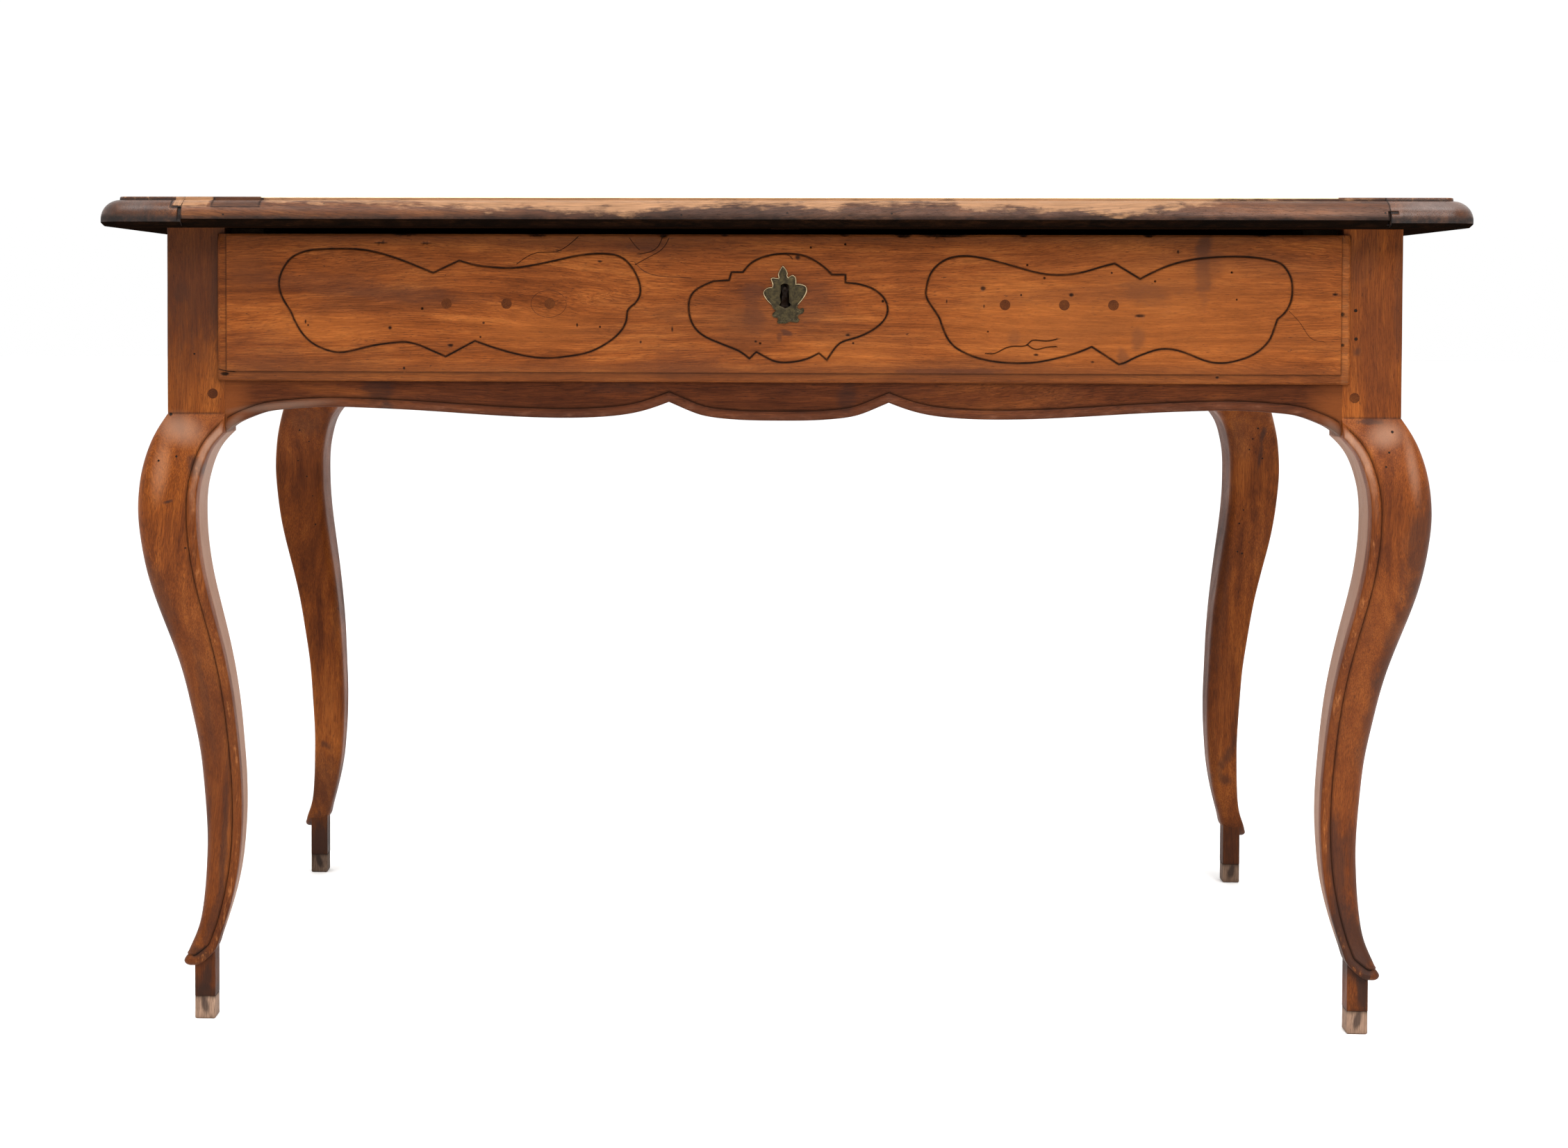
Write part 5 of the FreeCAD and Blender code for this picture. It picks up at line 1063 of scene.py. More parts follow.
PITS = [  # worm holes, knocks and plugged nail holes: place, half width, half height, depth
    (178.2, 661.8, 2.8, 2.5, 0.8), (255.1, 656.3, 2.4, 2.1, 0.6), (211.4, 656, 1.0, 1.3, 0.5),
    (216.6, 682.3, 1.1, 1.1, 1.4), (231.6, 670.9, 1.2, 1.2, 1.4), (327.7, 668.2, 1.1, 1.1, 1.4),
    (394, 676.1, 1.1, 1.1, 1.4), (146.6, 650.4, 0.7, 2.0, 0.5), (179.1, 646.1, 0.7, 1.8, 0.5),
    (182.7, 623.9, 0.9, 0.9, 1.0), (314.8, 638.1, 5.4, 1.6, 0.9), (224.8, 603.7, 2.5, 1.1, 0.9),
    (273.9, 597.6, 1.8, 0.9, 0.7), (398.5, 652.4, 0.9, 0.9, 1.0), (483.6, 657.2, 3.0, 1.2, 0.9),
    (490.5, 639.7, 2.0, 2.2, 1.3), (490.7, 612.9, 1.7, 1.7, 1.3), (347.4, 694.1, 1.2, 2.0, 0.6),
    (290, 675.6, 1.1, 1.1, 0.5), (382.5, 584.4, 1.8, 1.3, 0.5), (-314.9, 642.8, 1.4, 1.4, 1.5),
    (-343.5, 625.8, 2.0, 1.8, 1.0), (-177.8, 628.6, 0.9, 2.0, 0.7), (-157.6, 627.1, 1.1, 1.2, 0.8),
    (-289.9, 610.5, 3.0, 1.6, 0.9), (-260.5, 630.3, 1.4, 1.2, 0.4), (-418.6, 631, 0.9, 2.2, 0.6),
    (-416.3, 627.9, 1.0, 1.0, 0.8), (-157.7, 684.8, 2.5, 1.2, 0.6), (-263.3, 617.8, 1.0, 1.0, 0.8),
    (-351.4, 700.9, 6.8, 0.8, 0.5), (-311.8, 700.5, 5.8, 0.9, 0.6), (-331, 590.1, 1.3, 1.6, 0.4),
    (90.8, 650.3, 1.3, 1.3, 1.5), (57.7, 700.3, 1.2, 1.2, 1.3), (27.6, 697.3, 1.1, 1.1, 1.3),
    (-16.6, 613, 1.2, 1.2, 1.4), (-20.5, 614.6, 1.4, 1.1, 0.6), (60.2, 620.6, 2.6, 1.3, 0.8),
    (65, 613.4, 1.2, 1.2, 0.7), (-93.9, 625.5, 0.8, 3.2, 0.6), (-121.7, 613.9, 1.1, 1.5, 0.4),
    (16.2, 688.7, 2.8, 2.2, 0.5), (-491, 584.5, 4.6, 1.8, 1.8),
    # splinters lost from the top edge, where the key pulls the drawer
    (145, 708.5, 21, 2.2, 1.6), (106, 708.5, 3.5, 2.6, 1.6), (213, 708.5, 4, 2.0, 1.2),
    (322, 708.5, 4.5, 2.2, 1.5), (-213, 708.5, 9, 2.0, 1.5), (-102, 708.5, 4, 3.2, 2.0),
    (110, 708.5, 5, 2.8, 1.5), (-48, 708.5, 3.5, 1.8, 1.0), (57, 708.5, 3.5, 1.8, 1.0),
    (-330, 708.5, 12, 1.2, 0.8), (420, 708.5, 8, 1.0, 0.8),
]
CRACKS = [  # hair cracks, worm galleries and the edge of a knot: half width, depth, points
    (0.75, 1.0, [(180.7, 604.9), (188.8, 604.9), (195.5, 608.2), (200.9, 610.4), (207.7, 611.2),
                 (217.1, 612.6), (220.6, 615.9), (226.6, 616.4), (234.7, 615.9), (242.7, 617.5)]),
    (0.75, 1.0, [(217.1, 612.6), (219.8, 610.4), (225.3, 608.5), (232, 609.9), (242.2, 611)]),
    (0.35, 0.3, [(444.1, 642.2), (455, 630.1), (464.5, 618), (473.9, 616.1)]),
    (0.50, 0.5, [(-177.2, 706.3), (-183, 701.1), (-190.1, 696), (-199.4, 692.9), (-213.5, 692.2),
                 (-222.9, 688.2), (-231.1, 682.3)]),
    (0.60, 0.4, [(-97.3, 704.8), (-99.8, 699.9), (-103.9, 695), (-112, 690), (-126.8, 681.8)]),
    (0.55, 0.5, [(-103.1, 705.1), (-107.1, 697.4), (-113, 693.5), (-121.9, 691.7)]),
    (0.50, 0.3, [(-126.8, 683.5), (-118.6, 676.1), (-105.4, 672.1), (-87.4, 670.8), (-77.6, 670.2)]),
    (0.50, 0.4, [(-131.7, 705.5), (-126.8, 699), (-122.7, 694.9)]),
    (0.50, 0.5, [(5.6, 691.9), (8.9, 689.9), (11.4, 687.3)]),
    (0.60, 0.8, [(-496.5, 588.6), (-491, 587.4), (-482.5, 586.6)]),
    # a faint oval line
    (0.35, 0.2, [(-202.9 + 15.6 * math.cos(angle), 647.3 + 11.8 * math.sin(angle))
                 for angle in np.linspace(0.6, 6.5, 17)]),
]
CRACK_LINES = [(half, deep, walk(points, 1.2)) for half, deep, points in CRACKS]


def front_depth(points):
    """how far the face lies behind its front plane, with grime and painted shadow, wear and painted highlight
    """
    from_side = LIP_X - np.abs(points[:, 0])
    from_low = points[:, 1] - LIP_LOW
    out = np.minimum(from_side, from_low)
    from_top = FRONT_TOP - points[:, 1]
    fall = LIP_ROUND * (1 - np.sqrt(np.clip(1 - (1 - np.clip(out / LIP_ROUND, 0, 1)) ** 2, 0, 1)))
    depth = STEP_DEPTH * (1 - ease(out, LIP_BORDER - 0.6, LIP_BORDER + 0.5)) + fall
    top_round = 0.9 * (1 - ease(from_top, 0, 2.4)) ** 2
    corner = 2.6 * (1 - ease(np.hypot(np.maximum(out, 0), np.maximum(from_top, 0)), 0, 11)) ** 1.5
    depth = np.maximum(depth, top_round) + corner
    # painted shadow of the top's overhang, with some dirt, darkens the upper edge; a dark line follows the
    # lip's step
    dirt = 0.42 * np.exp(-((out - LIP_BORDER + 0.5) / 0.7) ** 2) + 0.35 * (1 - ease(from_top, 0, 9))
    dirt = dirt + 0.16 * (out < LIP_BORDER) * (points[:, 0] < LIP_X - LIP_BORDER)
    wear = 0.12 * np.exp(-((out - LIP_BORDER - 0.9) / 0.8) ** 2) + 0.15 * np.exp(-((out - 2.2) / 1.2) ** 2)
    for line in CARTOUCHES:
        away = near_line(points, line, 9)
        cut = np.clip(1 - away / CUT_HALF, 0, 1)
        soft = 0.30 * np.exp(-(away / 2.1) ** 2)
        depth = depth + CUT_DEPTH * cut ** 1.1 * 0.85 + soft * 0.6
        dirt = dirt + 0.9 * ease(-away, -1.35, -0.3) + 0.16 * np.exp(-(away / 2.4) ** 2)
    for half, deep, line in CRACK_LINES:
        away = near_line(points, line, 3)
        depth = depth + deep * np.clip(1 - away / half, 0, 1)
        dirt = dirt + min(1.0, 0.45 + deep) * (1 - ease(away, 0.15 * half, 1.15 * half))
    for x, z, wide, high, deep in PITS:
        away = np.hypot((points[:, 0] - x) / wide, (points[:, 1] - z) / high)
        depth = depth + deep * (1 - ease(away, 0.3, 1.1))
        dirt = dirt + 0.95 * (1 - ease(away, 0.45, 1.15))
    from_right = LIP_X - points[:, 0]
    # painted highlight: the right lip's rounded edge is paler
    pale = 0.30 * (1 - ease(from_right, LIP_BORDER - 1, LIP_BORDER)) * ease(from_right, 0.5, 2.5)
    return depth, dirt, wear * (1 - np.clip(dirt, 0, 1)), pale


def spread(low, high, step):
    return np.linspace(low, high, max(2, int(round((high - low) / step)) + 1))


RIM_STEPS = np.concatenate([[0.12, 0.3, 0.6, 1.0, 1.5, 2.1, 2.8, 3.5, 5, 6.5, 7.5], np.arange(8, 9.5, 0.2),
                            [9.8, 10.4, 11.5]])
RIM_ACROSS = spread(-LIP_X + 13, LIP_X - 13, 4)
RIM_UP = spread(LIP_LOW + 13, FRONT_TOP - 0.01, 3)[:-1]


def front_points():
    points = []
    for step in RIM_STEPS:
        points += [np.stack([np.full(len(RIM_UP), side * (LIP_X - step)), RIM_UP], 1) for side in (-1, 1)]
        points.append(np.stack([RIM_ACROSS, np.full(len(RIM_ACROSS), LIP_LOW + step)], 1))
    across, upward = np.meshgrid(RIM_STEPS, RIM_STEPS)
    for side in (-1, 1):
        points.append(np.stack([side * (LIP_X - across.ravel()), LIP_LOW + upward.ravel()], 1))
    for step in (0.3, 0.7, 1.2, 1.8, 2.5, 4):
        points.append(np.stack([RIM_ACROSS, np.full(len(RIM_ACROSS), FRONT_TOP - step)], 1))
    for line in CARTOUCHES:
        points.append(line[:-1])
        beside = [d * s for d in (0.35, 0.75, 1.15, 1.5, 1.9, 2.6, 3.8, 5.4) for s in (-1, 1)]
        points.append(rings_beside(line, beside))
    for half, deep, line in CRACK_LINES:
        points.append(line)
        points.append(rings_beside(line, [d * s * half for d in (0.5, 1.0, 1.5) for s in (-1, 1)]))
    turn = np.linspace(0, 2 * math.pi, 12, endpoint=False)
    for x, z, wide, high, deep in PITS:
        points += [np.stack([x + share * wide * np.cos(turn), z + share * high * np.sin(turn)], 1)
                   for share in (0.05, 0.45, 0.75, 1.1, 1.5)]
    x, z = np.meshgrid(spread(-LIP_X + 15, LIP_X - 15, 4.2), spread(LIP_LOW + 15, FRONT_TOP - 6, 4.2))
    field = np.stack([x.ravel(), z.ravel()], 1) + np.random.default_rng(3).uniform(-0.8, 0.8, (x.size, 2))
    clear = np.ones(len(field), bool)
    for line in CARTOUCHES:
        clear &= near_line(field, line, 9) > 6.6
    points.append(field[clear])
    points = np.concatenate(points)
    fits = np.abs(points[:, 0]) < LIP_X - 0.05
    fits &= (points[:, 1] > LIP_LOW + 0.05) & (points[:, 1] < FRONT_TOP - 0.005)
    return points[fits]


x = np.concatenate([[0], RIM_STEPS]) - LIP_X
x = np.concatenate([x, RIM_ACROSS, -x[::-1]])
z = np.concatenate([[LIP_LOW], LIP_LOW + RIM_STEPS, RIM_UP, [FRONT_TOP]])
border = np.concatenate([np.stack([x, np.full(len(x), LIP_LOW)], 1)[:-1],
                         np.stack([np.full(len(z), LIP_X), z], 1)[:-1],
                         np.stack([x[::-1], np.full(len(x), FRONT_TOP)], 1)[:-1],
                         np.stack([np.full(len(z), -LIP_X), z[::-1]], 1)[:-1]])
extra = front_points()
hole = keyhole_ring()
extra = extra[~inside(extra, keyhole_ring(0.6))]
flat_points, flat_faces = triangles(border, [hole], extra)
depth, dirt, wear, pale = front_depth(flat_points)
wave = lumps(np.column_stack([flat_points, np.zeros(len(flat_points))]), 34, 2)
face_points = np.column_stack([flat_points[:, 0], FACE + SKIN_DEEP + depth + 0.07 * wave, flat_points[:, 1]])
skin = Skin()
skin.add(face_points, flat_faces.tolist(), wear=wear, dirt=dirt, pale=pale)
REST = -302.0
# the board's edges are darker, and the keyhole's walls are black as painted shade
for ring, soil in ((border, 0.6), (hole, 1.0)):
    depth = front_depth(ring)[0]
    ring_wave = lumps(np.column_stack([ring, np.zeros(len(ring))]), 34, 2)
    front_ring = np.column_stack([ring[:, 0], FACE + SKIN_DEEP + depth + 0.07 * ring_wave, ring[:, 1]])
    back_ring = front_ring.copy()
    back_ring[:, 1] = np.maximum(REST, front_ring[:, 1])
    skin.grid(np.stack([front_ring, back_ring]), round_rows=True, dirt=soil)
print("drawer face:", len(flat_points), "points")

# %% [markdown]
# Behind the face the measured board is kept as it is, with its dovetail sockets, the slot for the bottom and
# the recess for the lock: it is cut off just behind the face, and the new face closes it.

# %% Join the face to the measured board
def kept_behind(node, plane):
    """the measured piece behind an upright plane, as points and faces in millimetres"""
    work = bmesh.new()
    work.from_mesh(frame["nodes"][node].data)
    bmesh.ops.remove_doubles(work, verts=work.verts, dist=1e-6)
    bmesh.ops.bisect_plane(work, geom=work.verts[:] + work.edges[:] + work.faces[:],
                           plane_co=(0, plane * MM, 0), plane_no=(0, 1, 0), clear_inner=True)
    points = np.array([tuple(v.co) for v in work.verts]) / MM
    work.verts.index_update()
    faces = [[v.index for v in face.verts] for face in work.faces]
    work.free()
    return points, faces


skin.add(*kept_behind("drawer_front", REST), dirt=0.15)
build("drawer_front", skin, skin.places(), "drawer", front_wood, ["drawer_front"])

# %% [markdown]
# ## The top
# Three long boards lie side by side, and a board across each end holds them flat. The edge is moulded all
# round: a flat field, a small step, a full rounded nose and a hollowed underside. A long board is its section
# pulled along its length. An end board has nearly the same section, led along its
# front, round both corners and back.

# %% Top pattern
TOP_X, TOP_Y, TOP_Z = 595.0, 351.0, 740.0
RIM_Z = 737.0
NOSE = 16.8
TOP_CORNER = 25.0
JOINT_X = 519.0
MOULDED_SHARP = 38
# down-facing faces below this height get the painted shade under the top
SHADE_TOP = 722
FAR_IN = 99.0  # the middle board has no outer edge
PLANK = TOP_Y / 3
# the worn colour is partly whitened as a painted highlight, the pale colour is that of the painted highlight
# on the field's edge, and the dark colour also paints the shade under the nose
TOP_FINISH = dict(worn=(0.285, 0.145, 0.070), pale=(0.80, 0.70, 0.44), grime_and_shade=(0.009, 0.006, 0.005),
                  blotch=1.2, haze=0.5)
TOP_HOLES = [(-481.7, 723.7), (-394.9, 733.4), (-105.1, 735.5), (-84.7, 723.6), (6.2, 725.5),
             (95.6, 725.0), (223.2, 729.9), (273.6, 722.8), (290.7, 730.0), (322.6, 726.4), (342.6, 733.6),
             (458.1, 718.3), (514.4, 726.1)]


def edge_section(undercut):
    """(distance from the edge, height) from the field, over the nose, to the underside"""
    turn = np.linspace(math.pi / 2, math.pi, 30)
    nose = np.stack([NOSE + NOSE * np.cos(turn), RIM_Z - NOSE + NOSE * np.sin(turn)], 1)
    field = [(22, TOP_Z), (19, TOP_Z), (NOSE + 1.2, TOP_Z), (NOSE + 0.6, TOP_Z - 0.12),
             (NOSE + 0.2, TOP_Z - 0.5), (NOSE + 0.02, TOP_Z - 1.1), (NOSE, TOP_Z - 2.2),
             (NOSE - 0.1, RIM_Z + 0.25), (NOSE - 0.5, RIM_Z)]
    low = UNDERSIDE + undercut
    slant = undercut - 0.5
    foot = [(0.0, low + 0.2), (0.25, low - 0.3)]
    foot += [(0.25 + slant * share, low - 0.3 - slant * share) for share in (0.25, 0.5, 0.75, 1)]
    foot += [(undercut + 0.4, UNDERSIDE + 0.05), (undercut + 1.5, UNDERSIDE)]
    foot += [(14, UNDERSIDE), (22, UNDERSIDE)]
    return np.array(field + nose[1:].tolist() + foot)


NOSE_WEAR = [  # along the front: the height above which the dark wax has been rubbed off
    (-530, 742), (-526, 731), (-497, 731), (-494, 742), (-452, 742), (-440, 736), (-400, 735), (-330, 734),
    (-280, 731), (-250, 729.5), (-218, 730.5), (-190, 728.5), (-176, 726), (-150, 728), (-134, 724),
    (-110, 728.5), (-98, 731.5), (-75, 729.5), (-40, 735), (-15, 733), (5, 734), (33, 731), (50, 730),
    (60, 735), (104, 734), (150, 735), (156, 730), (176, 729), (205, 730.5), (225, 728), (250, 729.5),
    (262, 727), (285, 725), (306, 725), (325, 730), (341, 732), (365, 735), (385, 740), (520, 741)]
NOSE_WAX = [(-595, 0.40), (-530, 0.45), (-526, 0.25), (-400, 0.22), (-330, 0.30), (-280, 0.55),
            (-200, 0.62), (60, 0.66), (150, 0.58), (205, 0.68), (330, 0.62), (385, 0.28), (519, 0.30),
            (524, 0.35), (595, 0.30)]
PATCH_LEFT, PATCH_RIGHT = -492, -452  # a dark patch on the front edge, with a darker rim
# the painted highlight on the field's edge ends here
HIGHLIGHT_RIGHT = 478
NOTCHES = [  # at the joints of the end boards: from and to along x, from and to in height, depth
    (-522.4, -519, 718, 729.8, 2.4), (-528.6, -519.4, 729.6, 731.2, 0.9), (-529.4, -527.4, 730, 738, 0.9),
    (517.0, 519.3, 716, 726.6, 2.4), (517.0, 525.4, 725.2, 727.4, 1.3)]


def notched(places):
    """how deep the broken joints reach at each point of the front edge"""
    x, z = places[..., 0], places[..., 2]
    depth = np.zeros(x.shape)
    for left, right, low, high, deep in NOTCHES:
        within = (x > left) & (x < right) & (z > low) & (z < high) & (places[..., 1] < -TOP_Y + 12)
        depth = np.maximum(depth, deep * within)
    return depth


def edge_marks(places, inset):
    """painted shade with some grime under the nose and in the step, rubbed wood on the nose, a painted
    highlight along the field's edge
    """
    x, y, z = places[..., 0], places[..., 1], places[..., 2]
    soil = lumps(places * [1, 1, 2.5], 46, 31)
    fine_soil = lumps(places * [1.0, 1.0, 2.2], 9, 32)
    front = (y < -TOP_Y + 18) & (np.abs(x) < 530)
    height = np.where(front, np.interp(x, *np.array(NOSE_WEAR).T), 733.5 - 4.5 * soil)
    nose = (inset < NOSE + 0.3).astype(float)
    layer = np.where(front, np.interp(x, *np.array(NOSE_WAX).T), 0.5)
    # the wax layer and its soil, then painted shade with some grime: a dark line in the step, the lower nose
    # and the underside
    dirt = layer + 0.10 * soil + 0.08 * fine_soil + 0.5 * np.exp(-((z - 737.1) / 0.5) ** 2)
    dirt = dirt + (0.95 - layer) * (1 - ease(z, 720, 726))
    dirt = np.maximum(dirt * nose, 0.9 * np.exp(-((inset - NOSE) / 0.35) ** 2) * (z < 738.6) * (z > 736))
    dirt = np.maximum(dirt, (z < 719.9) * (inset < 60) * 0.95)
    dirt = np.maximum(dirt, notched(places) > 0)
    patch = front & (x > PATCH_LEFT) & (x < PATCH_RIGHT) & (z > 730.8 + 0.8 * fine_soil)
    rim = front & (x > PATCH_LEFT - 1.5) & (x < PATCH_RIGHT + 1.5) & (z > 730 + 0.8 * fine_soil) & ~patch
    dirt = np.where(patch, 0.55, np.where(rim & (nose > 0), 0.95, dirt))
    wear = np.clip(0.5 + (z - height) / 14 + 0.14 * fine_soil, 0, 1) * nose * (z > 721) * ~patch * ~rim
    wear = wear * np.where(np.abs(x) > JOINT_X, np.where(front & (x < 0), x > -527, 0.25), 1)
    wear = wear * (notched(places) == 0)
    wear = np.maximum(wear, 0.30 * (inset >= NOSE) * (inset < NOSE + 3) * (z > 739))
    # painted highlight: a pale line along the field's front edge
    highlit = np.where(front, (x > PATCH_RIGHT) & (x < HIGHLIGHT_RIGHT), 0.0)
    pale = ease(z, 738.6, 739.5) * (inset < NOSE + 1.4) * highlit
    return np.clip(dirt, 0, 1), wear, pale


def edge_worn(places, inset, outward):
    """dents and waves, only inwards"""
    near = 1 - ease(inset, 8, 17)
    wave = 0.5 + 0.5 * lumps(places, 70, 41) + 0.22 * lumps(places * [1, 1, 1.4], 13, 42)
    depth = near * np.clip(wave, 0, 1.6) * 0.45 + notched(places)
    places = places.copy()
    places[..., :2] -= outward * depth[..., None]
    return places


def shade_below(thing):
    """faces under the top get a dark, matt wood that paints the shade there, with some grime"""
    thing.data.materials.append(under_shade_wood)
    for face in thing.data.polygons:
        if face.normal.z < -0.35 and face.center.z < SHADE_TOP * MM:
            face.material_index = 1
    return thing


# painted shade: a much darker, matt copy of the top's wood for the faces under the top
under_shade_wood = wood("shadowed wood", "x", shaded(TOP_TONES, 0.3), grime_and_shade=(0.003, 0.002, 0.0015), gloss=0.8,
                  shine=0.0)


def long_board(name, row, seed):
    """row -1 is the front board, 1 the back one and 0 the one between them"""
    gap = 0.25
    near = np.array([gap, gap + 0.4, 1.1, 1.7, 2.2, 2.8])
    xs = np.concatenate([-JOINT_X + near, spread(-JOINT_X + 4, JOINT_X - 4, 2.2), JOINT_X - near[::-1]])
    skin = Skin()
    if row:
        section = edge_section(5.8)
        inner = TOP_Y - PLANK - gap
        field = spread(35, inner - 40, 30)
        inset = np.concatenate([[inner, inner, inner - 0.4, inner - 5], field[::-1], section[:, 0], field,
                                [inner - 5, inner]])
        height = np.concatenate([[UNDERSIDE, TOP_Z - 0.4, TOP_Z, TOP_Z], np.full(len(field), TOP_Z),
                                 section[:, 1], np.full(len(field), UNDERSIDE), [UNDERSIDE, UNDERSIDE]])
        y = row * (TOP_Y - inset)
    else:
        half = PLANK - gap
        span = spread(-half + 5, half - 5, 30)
        y = np.concatenate([[-half, -half, -half + 0.4], span, [half - 0.4, half, half], span[::-1]])
        height = np.concatenate([[UNDERSIDE, TOP_Z - 0.4, TOP_Z], np.full(len(span), TOP_Z),
                                 [TOP_Z, TOP_Z - 0.4, UNDERSIDE], np.full(len(span), UNDERSIDE)])
        inset = np.full(len(y), FAR_IN)
    table = np.zeros((len(xs), len(y), 3))
    table[..., 0] = xs[:, None]
    table[..., 1] = y
    table[..., 2] = height
    reach = np.repeat(inset[None], len(xs), 0)
    dirt, wear, pale = edge_marks(table, reach)
    ends = np.exp(-((JOINT_X - np.abs(table[..., 0])) / 0.9) ** 2)
    table = edge_worn(table, reach, np.array([0.0, float(row)]))
    skin.grid(table, round_rows=True, dirt=dirt + 0.6 * ends, wear=wear, pale=pale)
    skin.lid(table[0], dirt=0.8)
    skin.lid(table[-1], dirt=0.8)
    holes = [((x, 0, z), 0.8) for x, z in TOP_HOLES] if row == -1 else ()
    material = wood(f"{name} wood", "x", TOP_TONES, start=(0.37 * seed, 0.11 * seed, 0.2), gloss=0.36,
                    shine=0.14, holes=holes, **TOP_FINISH)
    return shade_below(build(name, skin, skin.places(), "table", material, [name],
                            sharp=MOULDED_SHARP))


def end_board(name, side, seed):
    corner = [TOP_X - TOP_CORNER, TOP_Y - TOP_CORNER]
    turn = np.linspace(0, math.pi / 2, 15)
    spots, facing = [], []
    joint = np.concatenate([JOINT_X + np.array([0.05, 0.6, 1.2, 1.8, 2.4, 3.0, 3.4, 3.9]),
                            spread(JOINT_X + 4.5, JOINT_X + 11, 0.9), spread(JOINT_X + 12, corner[0], 2.5)])
    for x in joint:
        spots.append((x, -TOP_Y))
        facing.append((0, -1))
    for angle in turn[1:]:
        spots.append((corner[0] + TOP_CORNER * math.sin(angle), -corner[1] - TOP_CORNER * math.cos(angle)))
        facing.append((math.sin(angle), -math.cos(angle)))
    for y in spread(-corner[1], corner[1], 4)[1:]:
        spots.append((TOP_X, y))
        facing.append((1, 0))
    for angle in turn[1:]:
        spots.append((corner[0] + TOP_CORNER * math.cos(angle), corner[1] + TOP_CORNER * math.sin(angle)))
        facing.append((math.cos(angle), math.sin(angle)))
    for x in joint[::-1][1:]:
        spots.append((x, TOP_Y))
        facing.append((0, 1))
    spots, facing = np.array(spots), np.array(facing, float)
    section = edge_section(3.3)
    table = np.zeros((len(spots), len(section), 3))
    table[..., :2] = spots[:, None] - facing[:, None] * section[None, :, :1]
    table[..., 2] = section[:, 1]
    outward = np.repeat(facing[:, None], len(section), 1)
    reach = np.repeat(section[None, :, 0], len(spots), 0)
    table[..., 0] *= side
    outward = outward * [side, 1]
    dirt, wear, pale = edge_marks(table, reach)
    ends = np.exp(-((np.abs(table[..., 0]) - JOINT_X) / 0.9) ** 2)
    table = edge_worn(table, reach, outward)
    skin = Skin()
    skin.grid(table, dirt=dirt + 0.5 * ends, wear=wear, pale=pale)
    skin.lid(table[:, 0])
    # painted shade on the end board's underside
    skin.lid(table[:, -1], dirt=0.95)
    skin.lid(np.concatenate([table[0], table[-1][::-1]]), dirt=0.8)
    # a painted highlight on the front corner of each end board
    sheen = ((side * 558, -345, 732), (20 + 8 * side, 40, 3.2), 0.65 + 0.25 * side, 0.0, "sheen")
    material = wood(f"{name} wood", "y", TOP_TONES, start=(0.19 * seed, 0.31 * seed, 0.1), gloss=0.26,
                    shine=0.22, stains=[sheen], **TOP_FINISH)
    return shade_below(build(name, skin, skin.places(), "table", material, [name],
                            sharp=MOULDED_SHARP))


# %% Build the top
front_board = long_board("top_board_front", -1, 1)
long_board("top_board_middle", 0, 2)
long_board("top_board_back", 1, 3)
end_board("top_end_left", -1, 4)
end_board("top_end_right", 1, 5)

# %% [markdown]
# When the key turns, the bolt of the lock rises into a mortise in the front board. A joiner chops it out with
# a chisel. Here a box is taken away from the finished board by a boolean, because the hole has flat walls and
# nothing else of the board has to change.

# %% Bolt mortise
MORTISE = ((-7.5, -290.0, 712.0), (17.5, -283.4, 720.0))


def chop(thing, low, high):
    """takes a box, given by two corners in millimetres, out of a piece"""
    steps = np.array([(x, y, z) for x in (0, 1) for y in (0, 1) for z in (0, 1)])
    places = np.array(low) + steps * (np.array(high) - np.array(low))
    mesh = bpy.data.meshes.new("chisel")
    mesh.from_pydata((places * MM).tolist(), [], [(0, 1, 3, 2), (4, 6, 7, 5), (0, 4, 5, 1), (2, 3, 7, 6),
                                                  (0, 2, 6, 4), (1, 5, 7, 3)])
    tool = bpy.data.objects.new("chisel", mesh)
    bpy.context.collection.objects.link(tool)
    cut = thing.modifiers.new("mortise", "BOOLEAN")
    cut.operation, cut.solver, cut.object = "DIFFERENCE", "EXACT", tool
    whole = thing.data
    thing.data = bpy.data.meshes.new_from_object(thing.evaluated_get(bpy.context.evaluated_depsgraph_get()))
    thing.modifiers.clear()
    bpy.data.objects.remove(tool)
    thing.data.set_sharp_from_angle(angle=math.radians(MOULDED_SHARP))
    print(f"mortise: {len(whole.vertices)} points before, {len(thing.data.vertices)} after")
    bpy.data.meshes.remove(whole)


chop(front_board, *MORTISE)

# %% [markdown]
# ## Metal
# The key plate is old brass: dark and olive where it was never touched, bright along its worn rim. The lock
# behind it is iron with a thin brown rust. Both are shaders with a metal base and a second, duller colour
# that noise and the `wear` mark bring in.

